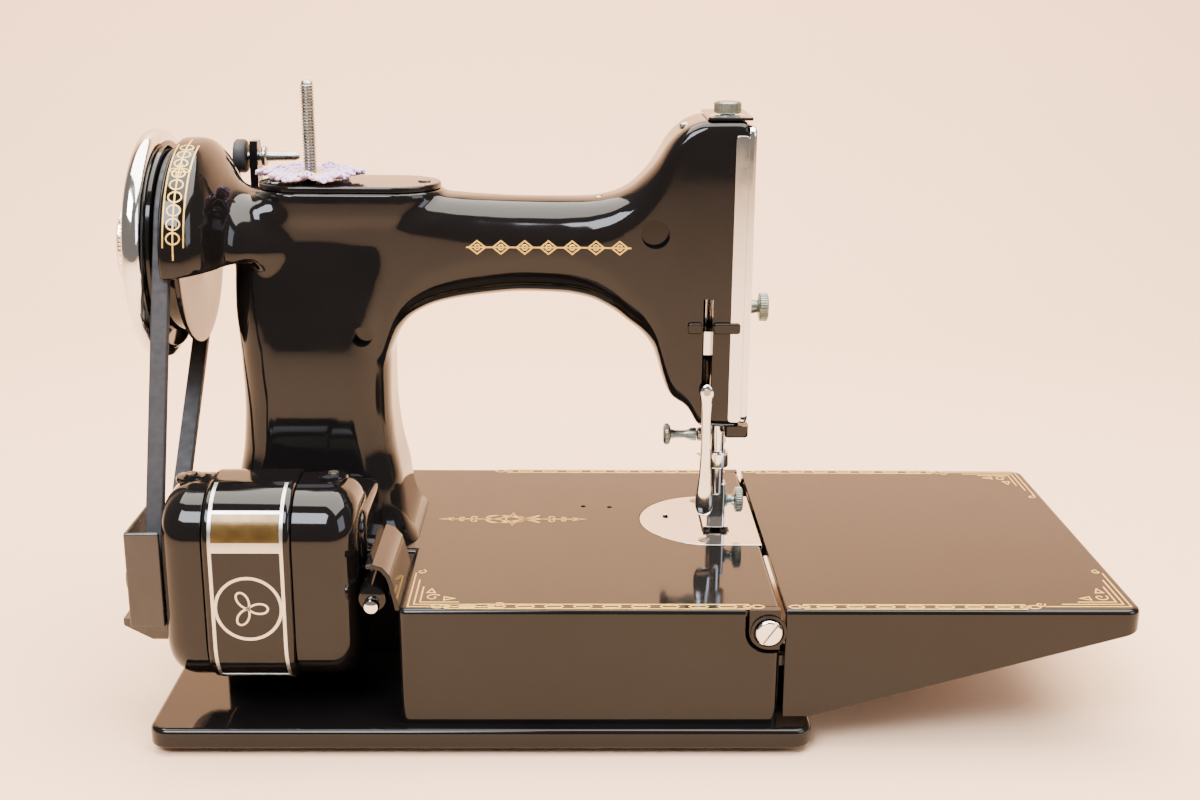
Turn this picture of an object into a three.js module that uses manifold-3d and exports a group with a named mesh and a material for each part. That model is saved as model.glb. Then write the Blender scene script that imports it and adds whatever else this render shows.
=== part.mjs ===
// Portable lock-stitch sewing machine with a side motor and a folding bed leaf.
// Millimetres, +Z up. +X points from the handwheel to the needle, and +Y points from the
// motor side to the operator's side. Lengths are first laid out from the left motor-side
// corner of the base, and the finished group is then centred on its own footprint.
import * as THREE from 'three';
import { mergeVertices } from 'three/addons/utils/BufferGeometryUtils.js';
import Module from 'manifold-3d';

const wasm = await Module();
wasm.setup();

// ---------------------------------------------------------------- driving sizes

const GAP = 0.3; // between pieces that touch on the real machine

const BASE_LENGTH = 260;
const BASE_WIDTH = 181;
const BASE_BOTTOM = 3;
const BASE_THICKNESS = 8.2;
const BASE_CORNER = 8;

const BED_LEFT = 98.2;
const BED_LENGTH = 148;
const BED_INSET = 5.5;
const BED_TOP = 59.6;
const BED_WALL = 4;
const BED_CORNER = 3;
const PILLAR_BED_LEFT = 14;
const PILLAR_BED_REAR = 68;

const LEAF_LENGTH = 138.8;
const LEAF_SKIN = 3.5;
const LEAF_CORNER = 6;
const LEAF_TIP_DEPTH = 9;
const LEAF_ROOT_DEPTH = 45.5;
const LEAF_SEAM = 1.8;

const HINGE_REACH = 14;
const HINGE_DEPTH = 6.2;
const HINGE_STUD = 1.5;
const EAR_SCREW_BACK = 4.9;
const EAR_SCREW_DEPTH = 9;
const EAR_RADIUS = 7.6;
const EAR_THICKNESS = 3.8;

const FOOT_RADIUS = 9;
const FOOT_HEIGHT = 6;
const FOOT_INSET = 17;

const ARM_Y = 105;
const SHAFT_Z = 183;
const SHAFT_RADIUS = 4.8;
const ARM_HALF_WIDTH = 20.5;
const HEAD_HALF_WIDTH = 22;
const ARM_TOP = 208;
const HEAD_TOP = 238.2;
const HEAD_BOTTOM = 108.6;
const HEAD_RIGHT = 236;

const HOOD_RADIUS = 45.2;
const HOOD_WALL = 2;
const HOOD_LEFT = 1.5;
const HOOD_SPREAD = 1.08; // the hood is wider than it is high, to clear the belt
const NECK_RADIUS = 24.5;

const WHEEL_RADIUS = 48.5;
const BELT_X = 1.5;
const BELT_WIDTH = 7;
const BELT_THICKNESS = 4.4;
const BELT_WHEEL_RADIUS = 38.5;
const BELT_MOTOR_RADIUS = 12;

const MOTOR_Y = 33;
const MOTOR_Z = 63.8;
const MOTOR_LEFT = 6.5;
const MOTOR_RIGHT = 82;
const MOTOR_BAND_LEFT = 24;
const MOTOR_BAND_RIGHT = 58;
const MOTOR_HALF_DEPTH = 25;
const MOTOR_HALF_HEIGHT = 39.5;
const MOTOR_CORNER = 20;
const ROTOR_RADIUS = 17;

const PILLAR_SHAFT_X = 58;
const HOOK_RADIUS = 15;
const HOOK_CLEARANCE = 1.1; // under the bed plate
const UPPER_GEAR = { teeth: 12, module: 1.25 };
const LOWER_GEAR = { teeth: 20, module: 0.85 };
const HOOK_GEAR = { teeth: 10, module: 0.85 };

const NEEDLE_X = 228;
const NEEDLE_Y = 106;
const PRESSER_Y = 94;
const BAR_RADIUS = 3;
const PLATE_THICKNESS = 1.8;
const PLATE_RADIUS = 31;

const SPOOL_PIN_X = 55;
const SPOOL_PIN_TOP = 253;

// ---------------------------------------------------------------- values that follow

const BASE_TOP = BASE_BOTTOM + BASE_THICKNESS;
const BED_RIGHT = BED_LEFT + BED_LENGTH;
const BED_REAR = BED_INSET;
const BED_FRONT = BASE_WIDTH - BED_INSET;
const BED_UNDER = BED_TOP - BED_WALL;
const HOOK_Z = BED_UNDER - HOOK_CLEARANCE - HOOK_RADIUS;
const LEAF_LEFT = BED_RIGHT + LEAF_SEAM;
const LEAF_RIGHT = LEAF_LEFT + LEAF_LENGTH;
const HINGE_X = BED_RIGHT + HINGE_REACH;
const HINGE_Z = BED_TOP - HINGE_DEPTH;
const EAR_X = BED_RIGHT - EAR_SCREW_BACK;
const EAR_Z = BED_TOP - EAR_SCREW_DEPTH;
const ARM_REAR = ARM_Y - ARM_HALF_WIDTH;
const ARM_FRONT = ARM_Y + ARM_HALF_WIDTH;
const HEAD_REAR = ARM_Y - HEAD_HALF_WIDTH;
const HEAD_FRONT = ARM_Y + HEAD_HALF_WIDTH;
const CLUTCH_LEFT = -24;
const PAN_POST = [150, 86];

// ---------------------------------------------------------------- solids

const CURVE_STEPS = 4;
const CORNER_STEPS = 3;

const AXES = {
  x: new THREE.Matrix4().makeBasis(
    new THREE.Vector3(0, 1, 0), new THREE.Vector3(0, 0, 1), new THREE.Vector3(1, 0, 0)),
  y: new THREE.Matrix4().makeBasis(
    new THREE.Vector3(1, 0, 0), new THREE.Vector3(0, 0, 1), new THREE.Vector3(0, -1, 0)),
  z: new THREE.Matrix4(),
};

// A closed three.js geometry as a solid, with its faces turned outwards.
function solidOf(geometry) {
  const plain = geometry.clone();
  plain.deleteAttribute('normal');
  plain.deleteAttribute('uv');
  const merged = mergeVertices(plain, 1e-4);
  const position = merged.attributes.position;
  const index = merged.index.array;
  const corners = [new THREE.Vector3(), new THREE.Vector3(), new THREE.Vector3()];
  const triangles = [];
  let volume = 0;
  for (let i = 0; i < index.length; i += 3) {
    const [a, b, c] = [index[i], index[i + 1], index[i + 2]];
    if (a === b || b === c || c === a) continue;
    triangles.push([a, b, c]);
    [a, b, c].forEach((vertex, k) => corners[k].fromBufferAttribute(position, vertex));
    volume += corners[0].dot(corners[1].clone().cross(corners[2]));
  }
  const outward = triangles.flatMap(([a, b, c]) => (volume < 0 ? [a, c, b] : [a, b, c]));
  return new wasm.Manifold(new wasm.Mesh({
    numProp: 3,
    vertProperties: new Float32Array(position.array),
    triVerts: new Uint32Array(outward),
  }));
}

function box(x0, x1, y0, y1, z0, z1) {
  const geometry = new THREE.BoxGeometry(x1 - x0, y1 - y0, z1 - z0);
  geometry.translate((x0 + x1) / 2, (y0 + y1) / 2, (z0 + z1) / 2);
  return solidOf(geometry);
}

// An outline swept along an axis. Along z it is drawn in (x, y), along y in (x, z) and
// along x in (y, z).
function prism(outline, axis, from, to, bevel = 0, segments = 1) {
  const drawn = outline instanceof THREE.Shape
    ? outline.extractPoints(CURVE_STEPS).shape
    : outline.map(([u, v]) => new THREE.Vector2(u, v));
  const corners = drawn.filter(
    (point, i) => point.distanceTo(drawn[(i + drawn.length - 1) % drawn.length]) > 0.02);
  const geometry = new THREE.ExtrudeGeometry(new THREE.Shape(corners), {
    depth: to - from - 2 * bevel,
    bevelEnabled: bevel > 0,
    bevelThickness: bevel,
    bevelSize: bevel,
    bevelOffset: -bevel,
    bevelSegments: segments,
  });
  geometry.translate(0, 0, bevel);
  geometry.applyMatrix4(AXES[axis]);
  const shift = { x: [from, 0, 0], y: [0, to, 0], z: [0, 0, from] }[axis];
  geometry.translate(...shift);
  return solidOf(geometry);
}

// A profile of [radius, distance along the axis] turned about a line through the centre.
function turned(profile, axis, centre, segments = 20) {
  const points = profile.map(([r, t]) => new THREE.Vector2(r, t));
  const geometry = new THREE.LatheGeometry(points, segments);
  if (axis === 'x') geometry.rotateZ(-Math.PI / 2);
  if (axis === 'z') geometry.rotateX(Math.PI / 2);
  geometry.translate(...centre);
  return solidOf(geometry);
}

// A round rod, from one distance along its axis to another.
function rod(axis, u, v, radius, from, to, segments = 16) {
  const centre = { x: [0, u, v], y: [u, 0, v], z: [u, v, 0] }[axis];
  return turned([[0, from], [radius, from], [radius, to], [0, to]], axis, centre, segments);
}

function ring(axis, u, v, inner, outer, from, to, segments = 20) {
  const centre = { x: [0, u, v], y: [u, 0, v], z: [u, v, 0] }[axis];
  const profile = [[inner, from], [outer, from], [outer, to], [inner, to], [inner, from]];
  return turned(profile, axis, centre, segments);
}

function roundedRectangle(x0, x1, y0, y1, r) {
  const shape = new THREE.Shape();
  shape.moveTo(x0 + r, y0);
  shape.lineTo(x1 - r, y0);
  shape.absarc(x1 - r, y0 + r, r, -Math.PI / 2, 0);
  shape.lineTo(x1, y1 - r);
  shape.absarc(x1 - r, y1 - r, r, 0, Math.PI / 2);
  shape.lineTo(x0 + r, y1);
  shape.absarc(x0 + r, y1 - r, r, Math.PI / 2, Math.PI);
  shape.lineTo(x0, y0 + r);
  shape.absarc(x0 + r, y0 + r, r, Math.PI, 1.5 * Math.PI);
  return shape;
}

// The corners of a rounded rectangle, counted round from the lower right one.
function roundedCorners([u0, u1], [v0, v1], r) {
  const centres = [[u1 - r, v0 + r], [u1 - r, v1 - r], [u0 + r, v1 - r], [u0 + r, v0 + r]];
  return centres.flatMap(([u, v], quarter) => Array.from({ length: CORNER_STEPS + 1 }, (_, i) => {
    const angle = (quarter - 1 + i / CORNER_STEPS) * (Math.PI / 2);
    return [u + r * Math.cos(angle), v + r * Math.sin(angle)];
  }));
}

// A skin over rounded rectangles { at, u, v, r } that follow each other along an axis, with
// both ends closed. The rectangles are drawn as prism() draws its outlines.
function loft(axis, sections) {
  const rings = sections.map(({ at, u, v, r }) => roundedCorners(u, v, r).map(([p, q]) => [p, q, at]));
  const count = rings[0].length;
  const index = [];
  for (let s = 0; s + 1 < rings.length; s += 1) {
    for (let i = 0; i < count; i += 1) {
      const a = s * count + i;
      const b = s * count + ((i + 1) % count);
      index.push(a, b, b + count, a, b + count, a + count);
    }
  }
  const top = (rings.length - 1) * count;
  for (let i = 1; i + 1 < count; i += 1) {
    index.push(0, i + 1, i);
    index.push(top, top + i, top + i + 1);
  }
  const geometry = new THREE.BufferGeometry();
  geometry.setAttribute('position', new THREE.Float32BufferAttribute(rings.flat(2), 3));
  geometry.setIndex(index);
  return solidOf(geometry.applyMatrix4(AXES[axis]));
}

const join = (first, ...others) => others.reduce((sum, piece) => sum.add(piece), first);
const cut = (first, ...others) => others.reduce((rest, piece) => rest.subtract(piece), first);

// ---------------------------------------------------------------- the assembly

const layout = new THREE.Group();

function addPart(name, solid, colour, roughness, metalness) {
  const mesh = solid.getMesh();
  const geometry = new THREE.BufferGeometry();
  geometry.setAttribute('position', new THREE.BufferAttribute(mesh.vertProperties, 3));
  geometry.setIndex(new THREE.BufferAttribute(mesh.triVerts, 1));
  geometry.computeVertexNormals();
  const material = new THREE.MeshStandardMaterial({ color: colour, roughness, metalness });
  const part = new THREE.Mesh(geometry, material);
  part.name = name;
  layout.add(part);
}

const enamelled = (name, solid) => addPart(name, solid, '#0b0a0b', 0.12, 0);
const chromed = (name, solid) => addPart(name, solid, '#d9d9d6', 0.12, 1);
const steel = (name, solid) => addPart(name, solid, '#8d8d89', 0.35, 1);
const rubber = (name, solid) => addPart(name, solid, '#17181a', 0.8, 0);

// ---------------------------------------------------------------- bed and base

function bedOutline(inset) {
  const [left, rear] = [BED_LEFT + inset, BED_REAR + inset];
  const [right, front] = [BED_RIGHT - inset, BED_FRONT - inset];
  const inner = [PILLAR_BED_LEFT + inset, PILLAR_BED_REAR + inset];
  return [[left, rear], [right, rear], [right, front], [inner[0], front], inner, [left, inner[1]]];
}

const footPlaces = {
  rear_left: [FOOT_INSET, FOOT_INSET],
  rear_right: [BASE_LENGTH - FOOT_INSET, FOOT_INSET],
  front_left: [FOOT_INSET, BASE_WIDTH - FOOT_INSET],
  front_right: [BASE_LENGTH - FOOT_INSET, BASE_WIDTH - FOOT_INSET],
};

function throatOutline(grow) {
  const shape = new THREE.Shape();
  const centre = BED_RIGHT - PLATE_RADIUS + 11;
  const radius = PLATE_RADIUS + grow;
  shape.moveTo(BED_RIGHT + grow, ARM_Y - radius);
  shape.lineTo(BED_RIGHT + grow, ARM_Y + radius);
  shape.lineTo(centre, ARM_Y + radius);
  shape.absarc(centre, ARM_Y, radius, Math.PI / 2, 1.5 * Math.PI);
  return shape;
}

// The cut-out in a side wall that each hinge ear sits in, open upwards and to the right.
function earOutline(grow) {
  const radius = EAR_RADIUS + grow;
  const shape = new THREE.Shape();
  shape.moveTo(EAR_X - radius, BED_TOP + grow);
  shape.lineTo(EAR_X - radius, EAR_Z);
  shape.absarc(EAR_X, EAR_Z, radius, Math.PI, 1.5 * Math.PI);
  shape.lineTo(BED_RIGHT - GAP + 2 * grow, EAR_Z - radius);
  shape.lineTo(BED_RIGHT - GAP + 2 * grow, BED_TOP + grow);
  return shape;
}

function wallSpan(side, from, to) {
  return side === 'rear' ? [BED_REAR + from, BED_REAR + to] : [BED_FRONT - to, BED_FRONT - from];
}

const ARM_PLATE = { in: EAR_THICKNESS, out: EAR_THICKNESS + 3 };

function hingeSeat(side) {
  const [wallLow, wallHigh] = wallSpan(side, -1, EAR_THICKNESS + GAP);
  const [slotLow, slotHigh] = wallSpan(side, EAR_THICKNESS - GAP, ARM_PLATE.out + GAP);
  return join(
    prism(earOutline(1.6), 'y', wallLow, wallHigh),
    box(EAR_X - EAR_RADIUS, BED_RIGHT + 1, slotLow, slotHigh, HINGE_Z - 19.6, HINGE_Z + 3.3),
  );
}

function hingeBoss(side) {
  const [low, high] = wallSpan(side, ARM_PLATE.out + GAP, ARM_PLATE.out + 5);
  return box(EAR_X - 7, BED_RIGHT - 1, low, high, EAR_Z - 7, BED_UNDER + 1);
}

function hingeScrewHole(side) {
  const [low, high] = wallSpan(side, ARM_PLATE.out, ARM_PLATE.out + 6);
  return rod('y', EAR_X, EAR_Z, 2.5 + GAP, low, high);
}

function bedCasting() {
  const under = BASE_BOTTOM - 1;
  const plate = prism(
    roundedRectangle(0, BASE_LENGTH, 0, BASE_WIDTH, BASE_CORNER), 'z', BASE_BOTTOM, BASE_TOP, 1.2);
  const tub = prism(bedOutline(0), 'z', BASE_BOTTOM + 1, BED_TOP, 1);
  const panPocket = prism(
    roundedRectangle(8, BASE_LENGTH - 8, 8, BASE_WIDTH - 8, 6), 'z', under, BASE_TOP - BED_WALL);
  const hollow = prism(bedOutline(BED_WALL), 'z', under, BED_UNDER);
  const footBosses = Object.values(footPlaces).map(
    ([x, y]) => rod('z', x, y, FOOT_RADIUS + 3, BASE_BOTTOM, BASE_TOP - 1));
  const footPockets = Object.values(footPlaces).map(
    ([x, y]) => rod('z', x, y, FOOT_RADIUS + GAP, under, FOOT_HEIGHT + GAP));
  const shell = cut(join(plate, tub), panPocket, hollow);
  const post = cut(
    rod('z', ...PAN_POST, 5, BASE_TOP - 3, BED_UNDER + 1),
    rod('z', ...PAN_POST, 2 + GAP, under, 24),
  );
  const plateSeat = prism(throatOutline(GAP), 'z', BED_TOP - PLATE_THICKNESS - GAP, BED_TOP + 1);
  const feedOpening = box(NEEDLE_X - 19.8, NEEDLE_X + 10.2, ARM_Y - 20, ARM_Y + 20, 50, BED_TOP);
  const bobbinDoor = box(BED_RIGHT - 6, BED_RIGHT + 1, ARM_Y - 20, ARM_Y + 22, 14, 53);
  const pillarHole = rod('z', PILLAR_SHAFT_X, ARM_Y, 14, 50, BED_TOP + 1);
  const accessoryHoles = [[170, 122], [182, 121]].map(([x, y]) => rod('z', x, y, 1.2, 50, BED_TOP + 1, 12));
  const seats = ['rear', 'front'].map(hingeSeat);
  const bosses = ['rear', 'front'].map(hingeBoss);
  const screwHoles = ['rear', 'front'].map(hingeScrewHole);
  return cut(
    join(cut(join(shell, ...footBosses, post), ...seats), ...bosses),
    ...footPockets, ...screwHoles, plateSeat, feedOpening, bobbinDoor, pillarHole, ...accessoryHoles);
}

function rubberFoot([x, y]) {
  const profile = [
    [0, 0], [FOOT_RADIUS - 1.5, 0], [FOOT_RADIUS - 0.4, 1], [FOOT_RADIUS, 2.4],
    [FOOT_RADIUS, FOOT_HEIGHT], [0, FOOT_HEIGHT]];
  return turned(profile, 'z', [x, y, 0]);
}

function dripPan() {
  const bottom = BASE_BOTTOM + 1;
  const sheet = prism(roundedRectangle(9, BASE_LENGTH - 9, 9, BASE_WIDTH - 9, 6), 'z', bottom, bottom + 1.5);
  const notches = Object.values(footPlaces).map(
    ([x, y]) => rod('z', x, y, FOOT_RADIUS + 3 + 2 * GAP, 0, 20));
  return cut(sheet, ...notches, rod('z', ...PAN_POST, 2 + GAP, 0, 20, 16));
}

function dripPanScrew() {
  const [x, y] = PAN_POST;
  const under = BASE_BOTTOM + 1 - GAP;
  return turned([[0, under - 0.6], [8, under - 0.6], [8, under], [2, under], [2, 20], [0, 20]], 'z', [x, y, 0]);
}

function throatPlate() {
  const plate = prism(throatOutline(0), 'z', BED_TOP - PLATE_THICKNESS, BED_TOP);
  const needleHole = rod('z', NEEDLE_X, NEEDLE_Y, 1.4, 50, 70, 12);
  const bottom = BED_TOP - PLATE_THICKNESS - 1;
  const slots = FEED_ROWS.map((x) => box(
    x - FEED_ROW_WIDTH / 2 - 0.5, x + FEED_ROW_WIDTH / 2 + 0.5,
    FEED_REAR - FEED_TRAVEL - 0.5, FEED_FRONT + FEED_TRAVEL + 0.5, bottom, BED_TOP + 1));
  const slideSlot = rod('z', 207, 109, 1.2, 50, 70, 12);
  return cut(plate, needleHole, slideSlot, ...slots);
}

const FEED_ROWS = [NEEDLE_X - 4.2, NEEDLE_X + 4.2];
const FEED_ROW_WIDTH = 2.4;
const FEED_REAR = 92;
const FEED_FRONT = 114;
const FEED_TRAVEL = 2;

function feedDog() {
  const base = box(
    FEED_ROWS[0] - 2, FEED_ROWS[1] + 2, FEED_REAR, FEED_FRONT,
    BED_UNDER - 0.2, BED_TOP - PLATE_THICKNESS - 2 * GAP);
  const rows = FEED_ROWS.map((x) => box(
    x - FEED_ROW_WIDTH / 2, x + FEED_ROW_WIDTH / 2, FEED_REAR, FEED_FRONT,
    BED_UNDER, BED_TOP + 0.3));
  return cut(join(base, ...rows), rod('z', NEEDLE_X, NEEDLE_Y, 2.2, 50, 70, 12));
}

// ---------------------------------------------------------------- folding leaf

// The arm dips below the swing of the leaf's top and rises to the stud from underneath.
function gooseneck() {
  const left = EAR_X - 5;
  const right = EAR_X + 4.2;
  const elbow = HINGE_Z - 19;
  const inner = HINGE_Z - 14.5;
  return [
    [left, HINGE_Z + 2.3], [left, elbow + 3], [left + 3, elbow], [HINGE_X + 1, elbow], [HINGE_X + 3, elbow + 2],
    [HINGE_X + 2.3, HINGE_Z], [HINGE_X, HINGE_Z + 2.3], [HINGE_X - 2.1, HINGE_Z], [HINGE_X - 2.1, inner],
    [right, inner], [right, HINGE_Z + 2.3]];
}

function hingeBracket(side) {
  const [earLow, earHigh] = wallSpan(side, 0, EAR_THICKNESS);
  const [armLow, armHigh] = wallSpan(side, ARM_PLATE.in, ARM_PLATE.out);
  const [studLow, studHigh] = wallSpan(side, ARM_PLATE.in, ARM_PLATE.out + 7);
  const screwHole = rod('y', EAR_X, EAR_Z, 2.5 + GAP, 0, BASE_WIDTH, 16);
  return join(
    cut(join(prism(earOutline(0), 'y', earLow, earHigh), prism(gooseneck(), 'y', armLow, armHigh)), screwHole),
    rod('y', HINGE_X, HINGE_Z, HINGE_STUD, studLow, studHigh, 20),
  );
}

function hingeScrew(side) {
  const reach = ARM_PLATE.out + 4.5;
  const profile = [[0, -2.4], [4.6, -2.4], [5.3, -1.7], [5.3, -GAP], [2.5, -GAP], [2.5, reach], [0, reach]];
  const outside = side === 'rear' ? BED_REAR : BED_FRONT;
  const towards = side === 'rear' ? 1 : -1;
  const screw = turned(profile.map(([r, t]) => [r, outside + towards * t]), 'y', [EAR_X, 0, EAR_Z], 28);
  const slotFace = outside - towards * 2.4;
  const slot = solidOf(new THREE.BoxGeometry(12, 1.6, 1)
    .rotateY(-THREE.MathUtils.degToRad(55))
    .translate(EAR_X, slotFace, EAR_Z));
  return cut(screw, slot);
}

function leafOutline(inset) {
  const [left, right] = [LEAF_LEFT - 1, LEAF_RIGHT - inset];
  const [rear, front] = [BED_REAR + inset, BED_FRONT - inset];
  const r = LEAF_CORNER - inset;
  const shape = new THREE.Shape();
  shape.moveTo(left, rear);
  shape.lineTo(right - r, rear);
  shape.absarc(right - r, rear + r, r, -Math.PI / 2, 0);
  shape.lineTo(right, front - r);
  shape.absarc(right - r, front - r, r, 0, Math.PI / 2);
  shape.lineTo(left, front);
  return shape;
}

function bedLeaf() {
  const bottom = BED_TOP - LEAF_ROOT_DEPTH - 1;
  const blank = prism(leafOutline(0), 'z', bottom, BED_TOP, 1);
  const side = [
    [LEAF_LEFT, BED_TOP - LEAF_ROOT_DEPTH], [LEAF_LEFT + 10, BED_TOP - LEAF_ROOT_DEPTH],
    [LEAF_RIGHT + 1, BED_TOP - LEAF_TIP_DEPTH], [LEAF_RIGHT + 1, BED_TOP + 1], [LEAF_LEFT, BED_TOP + 1]];
  const wedge = prism(side, 'y', BED_REAR - 1, BED_FRONT + 1);
  const hollow = prism(leafOutline(LEAF_SKIN), 'z', bottom - 1, BED_TOP - LEAF_SKIN);
  const lugs = ['rear', 'front'].map((edge) => {
    const [low, high] = wallSpan(edge, ARM_PLATE.out + GAP, ARM_PLATE.out + 6);
    return join(
      rod('y', HINGE_X, HINGE_Z, 4.2, low, high, 20),
      box(HINGE_X - 4.2, HINGE_X + 4.2, low, high, HINGE_Z, BED_TOP - 1));
  });
  const studHole = rod('y', HINGE_X, HINGE_Z, HINGE_STUD + GAP, 0, BASE_WIDTH, 20);
  return join(blank.intersect(wedge).subtract(hollow), ...lugs).subtract(
    studHole.intersect(box(0, 400, BED_REAR + LEAF_SKIN, BED_FRONT - LEAF_SKIN, 0, 300)));
}

// ---------------------------------------------------------------- arm and head

// Each row is a station along the arm: x, underside, top, half width, corner radius.
const armStations = [
  [24.5, 129, ARM_TOP, 20.5, 10],
  [60, 129, ARM_TOP, 20.5, 10],
  [86.5, 129, ARM_TOP, 20.5, 11],
  [88.5, 141, ARM_TOP, 20.5, 12],
  [92, 149, ARM_TOP, 20.5, 13],
  [98, 155.6, ARM_TOP, 20.5, 14],
  [109, 160.3, ARM_TOP, 20.3, 15],
  [124, 162.8, 206, 20, 16],
  [144.4, 164.4, 204.9, 20, 17],
  [160.2, 163.9, 204.6, 20, 17],
  [170.6, 162.4, 204.7, 20, 16],
  [181, 157.8, 206.2, 20.3, 15],
  [188, 152.8, 209.2, 20.6, 14],
  [193.6, 148.7, 213.9, 20.9, 13],
  [199, 142, 220.4, 21.2, 11],
  [203.7, 127.6, 228.1, 21.6, 8],
  [207, 121.6, 232, 21.8, 6],
  [213.3, 117.9, 236.4, 22, 4.5],
  [219.7, 109, 238.2, 22, 3],
];

function armBeam() {
  const sections = armStations.map(([at, low, high, half, r]) => (
    { at, u: [ARM_Y - half, ARM_Y + half], v: [low, high], r }));
  const last = { ...sections[sections.length - 1], at: HEAD_RIGHT, v: [HEAD_BOTTOM, HEAD_TOP] };
  return loft('x', [...sections, last]);
}

function pillar() {
  const section = (at, left, right, half, r) => ({ at, u: [left, right], v: [ARM_Y - half, ARM_Y + half], r });
  return loft('z', [
    section(BED_TOP + GAP, 16, 98, 35, 14),
    section(64, 18.5, 95.5, 33, 14),
    section(72, 20.5, 93.3, 31, 14),
    section(83.5, 21.2, 92, 29.5, 14),
    section(100, 23.8, 89, 28, 14),
    section(119, 25, 87.5, 27, 14),
    section(140, 24.4, 87.9, 26, 14),
    section(160, 23, 91, 24, 13),
    section(185, 23, 92, 20, 12),
    section(198, 24, 92, 16, 9),
  ]);
}

function hood() {
  const inner = HOOD_RADIUS - HOOD_WALL;
  const profile = [
    [inner, HOOD_LEFT], [HOOD_RADIUS - 1, HOOD_LEFT], [HOOD_RADIUS, HOOD_LEFT + 1], [HOOD_RADIUS, 10.6],
    [43.5, 14], [39.2, 17.7], [30.5, 22.5], [NECK_RADIUS + 0.8, 25.5], [NECK_RADIUS, 31], [NECK_RADIUS, 34],
    [0, 34], [0, 12], [NECK_RADIUS - 4, 12], [34, 10.5], [inner - 2, 10], [inner, 9], [inner, HOOD_LEFT]];
  const whole = turned(profile, 'x', [0, 0, SHAFT_Z], 32).scale([1, HOOD_SPREAD, 1]).translate([0, ARM_Y, 0]);
  const below = prism([[-5, 100], [60, 100], [60, 160], [33, 182], [20, 178], [-5, 176.5]], 'y', 0, 200);
  return cut(whole, below);
}

function armHollow() {
  return join(
    rod('x', ARM_Y, SHAFT_Z, 12, 38, 230),
    rod('x', ARM_Y, SHAFT_Z, SHAFT_RADIUS + GAP, 0, 50),
    loft('z', [
      { at: BED_TOP - 1, u: [32, 82], v: [ARM_Y - 19, ARM_Y + 19], r: 10 },
      { at: 150, u: [34, 80], v: [ARM_Y - 18, ARM_Y + 18], r: 10 },
      { at: 196, u: [34, 84], v: [ARM_Y - 16.5, ARM_Y + 16.5], r: 8 },
      { at: ARM_TOP + 2, u: [40, 98], v: [ARM_Y - 12, ARM_Y + 12], r: 8 },
    ]),
    box(HEAD_RIGHT - 27, HEAD_RIGHT + 1, HEAD_REAR + 5, HEAD_FRONT - 5, HEAD_BOTTOM + 4, HEAD_TOP - 6),
  );
}

function armCasting() {
  const barHole = (y) => rod('z', NEEDLE_X, y, BAR_RADIUS + GAP, 90, 120, 20);
  const lifterSlot = box(LIFTER_X - 2.4, LIFTER_X + 2.4, HEAD_REAR - 1, HEAD_REAR + 6, 116, 134);
  const pressureHole = rod('z', NEEDLE_X, PRESSER_Y, 3 + GAP, 225, 245, 20);
  const lampHole = rod('y', 199, 189, 6, ARM_REAR - 1, ARM_REAR + 4, 24);
  const pillarScrewHole = rod('y', 76, 146, 4, 70, ARM_Y - 22, 20);
  const tensionHole = rod('y', TENSION_X, TENSION_Z, 2.5 + GAP, HEAD_FRONT - 8, HEAD_FRONT + 1, 16);
  const takeUpSlot = box(TAKE_UP_X - 1.8, TAKE_UP_X + 1.8, HEAD_FRONT - 8, HEAD_FRONT + 1, 168, 214);
  const leverHole = rod('y', STITCH_X, STITCH_Z, 3 + GAP, ARM_Y + 10, ARM_Y + 40, 16);
  return cut(
    join(armBeam(), pillar(), hood()), armHollow(), barHole(NEEDLE_Y), barHole(PRESSER_Y),
    lifterSlot, pressureHole, lampHole, pillarScrewHole, tensionHole, takeUpSlot, leverHole);
}

function armCover() {
  const half = ARM_HALF_WIDTH - 0.6;
  const [left, right] = [33, 110];
  const shape = roundedRectangle(left, right, ARM_Y - half, ARM_Y + half, half - 0.1);
  const pinHole = rod('z', SPOOL_PIN_X, ARM_Y, 2.5 + GAP, 200, 220, 16);
  return cut(prism(shape, 'z', ARM_TOP + GAP, ARM_TOP + 2.3, 0.7), pinHole);
}

function spoolPin() {
  const profile = [[0, ARM_TOP - 6], [2.5, ARM_TOP - 6]];
  for (let z = ARM_TOP + 4; z < SPOOL_PIN_TOP - 3; z += 4) {
    profile.push([2.5, z], [2.15, z + 2]);
  }
  profile.push([2.5, SPOOL_PIN_TOP - 1.5], [1.6, SPOOL_PIN_TOP], [0, SPOOL_PIN_TOP]);
  return turned(profile, 'z', [SPOOL_PIN_X, ARM_Y, 0], 8);
}

// The crocheted mat under the spool, as a plain scalloped disc.
function spoolMat() {
  const petals = 6;
  const shape = new THREE.Shape();
  const steps = petals * 8;
  for (let i = 0; i < steps; i += 1) {
    const angle = (i / steps) * 2 * Math.PI;
    const radius = 19.5 + 2.6 * Math.cos(petals * angle);
    const point = [SPOOL_PIN_X + radius * Math.cos(angle), ARM_Y + radius * Math.sin(angle)];
    if (i === 0) shape.moveTo(...point);
    else shape.lineTo(...point);
  }
  const bottom = ARM_TOP + 2.3 + GAP;
  return cut(prism(shape, 'z', bottom, bottom + 4.5), rod('z', SPOOL_PIN_X, ARM_Y, 2.5 + GAP, 200, 225, 16));
}

function facePlate() {
  const [bottom, top] = [HEAD_BOTTOM + 2.5, HEAD_TOP - 2.2];
  const inside = HEAD_RIGHT + GAP;
  const outline = roundedRectangle(HEAD_REAR + 0.4, HEAD_FRONT - 0.4, bottom, top, 4);
  const plate = prism(outline, 'x', inside, inside + 4.2, 1.4);
  const recess = prism(
    roundedRectangle(HEAD_REAR + 3.4, HEAD_FRONT - 3.4, bottom + 3, top - 3, 3), 'x', inside - 1, inside + 2.4);
  return cut(plate, recess, rod('x', NEEDLE_Y, FACE_SCREW_Z, 2 + GAP, 230, 250, 16));
}

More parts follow.
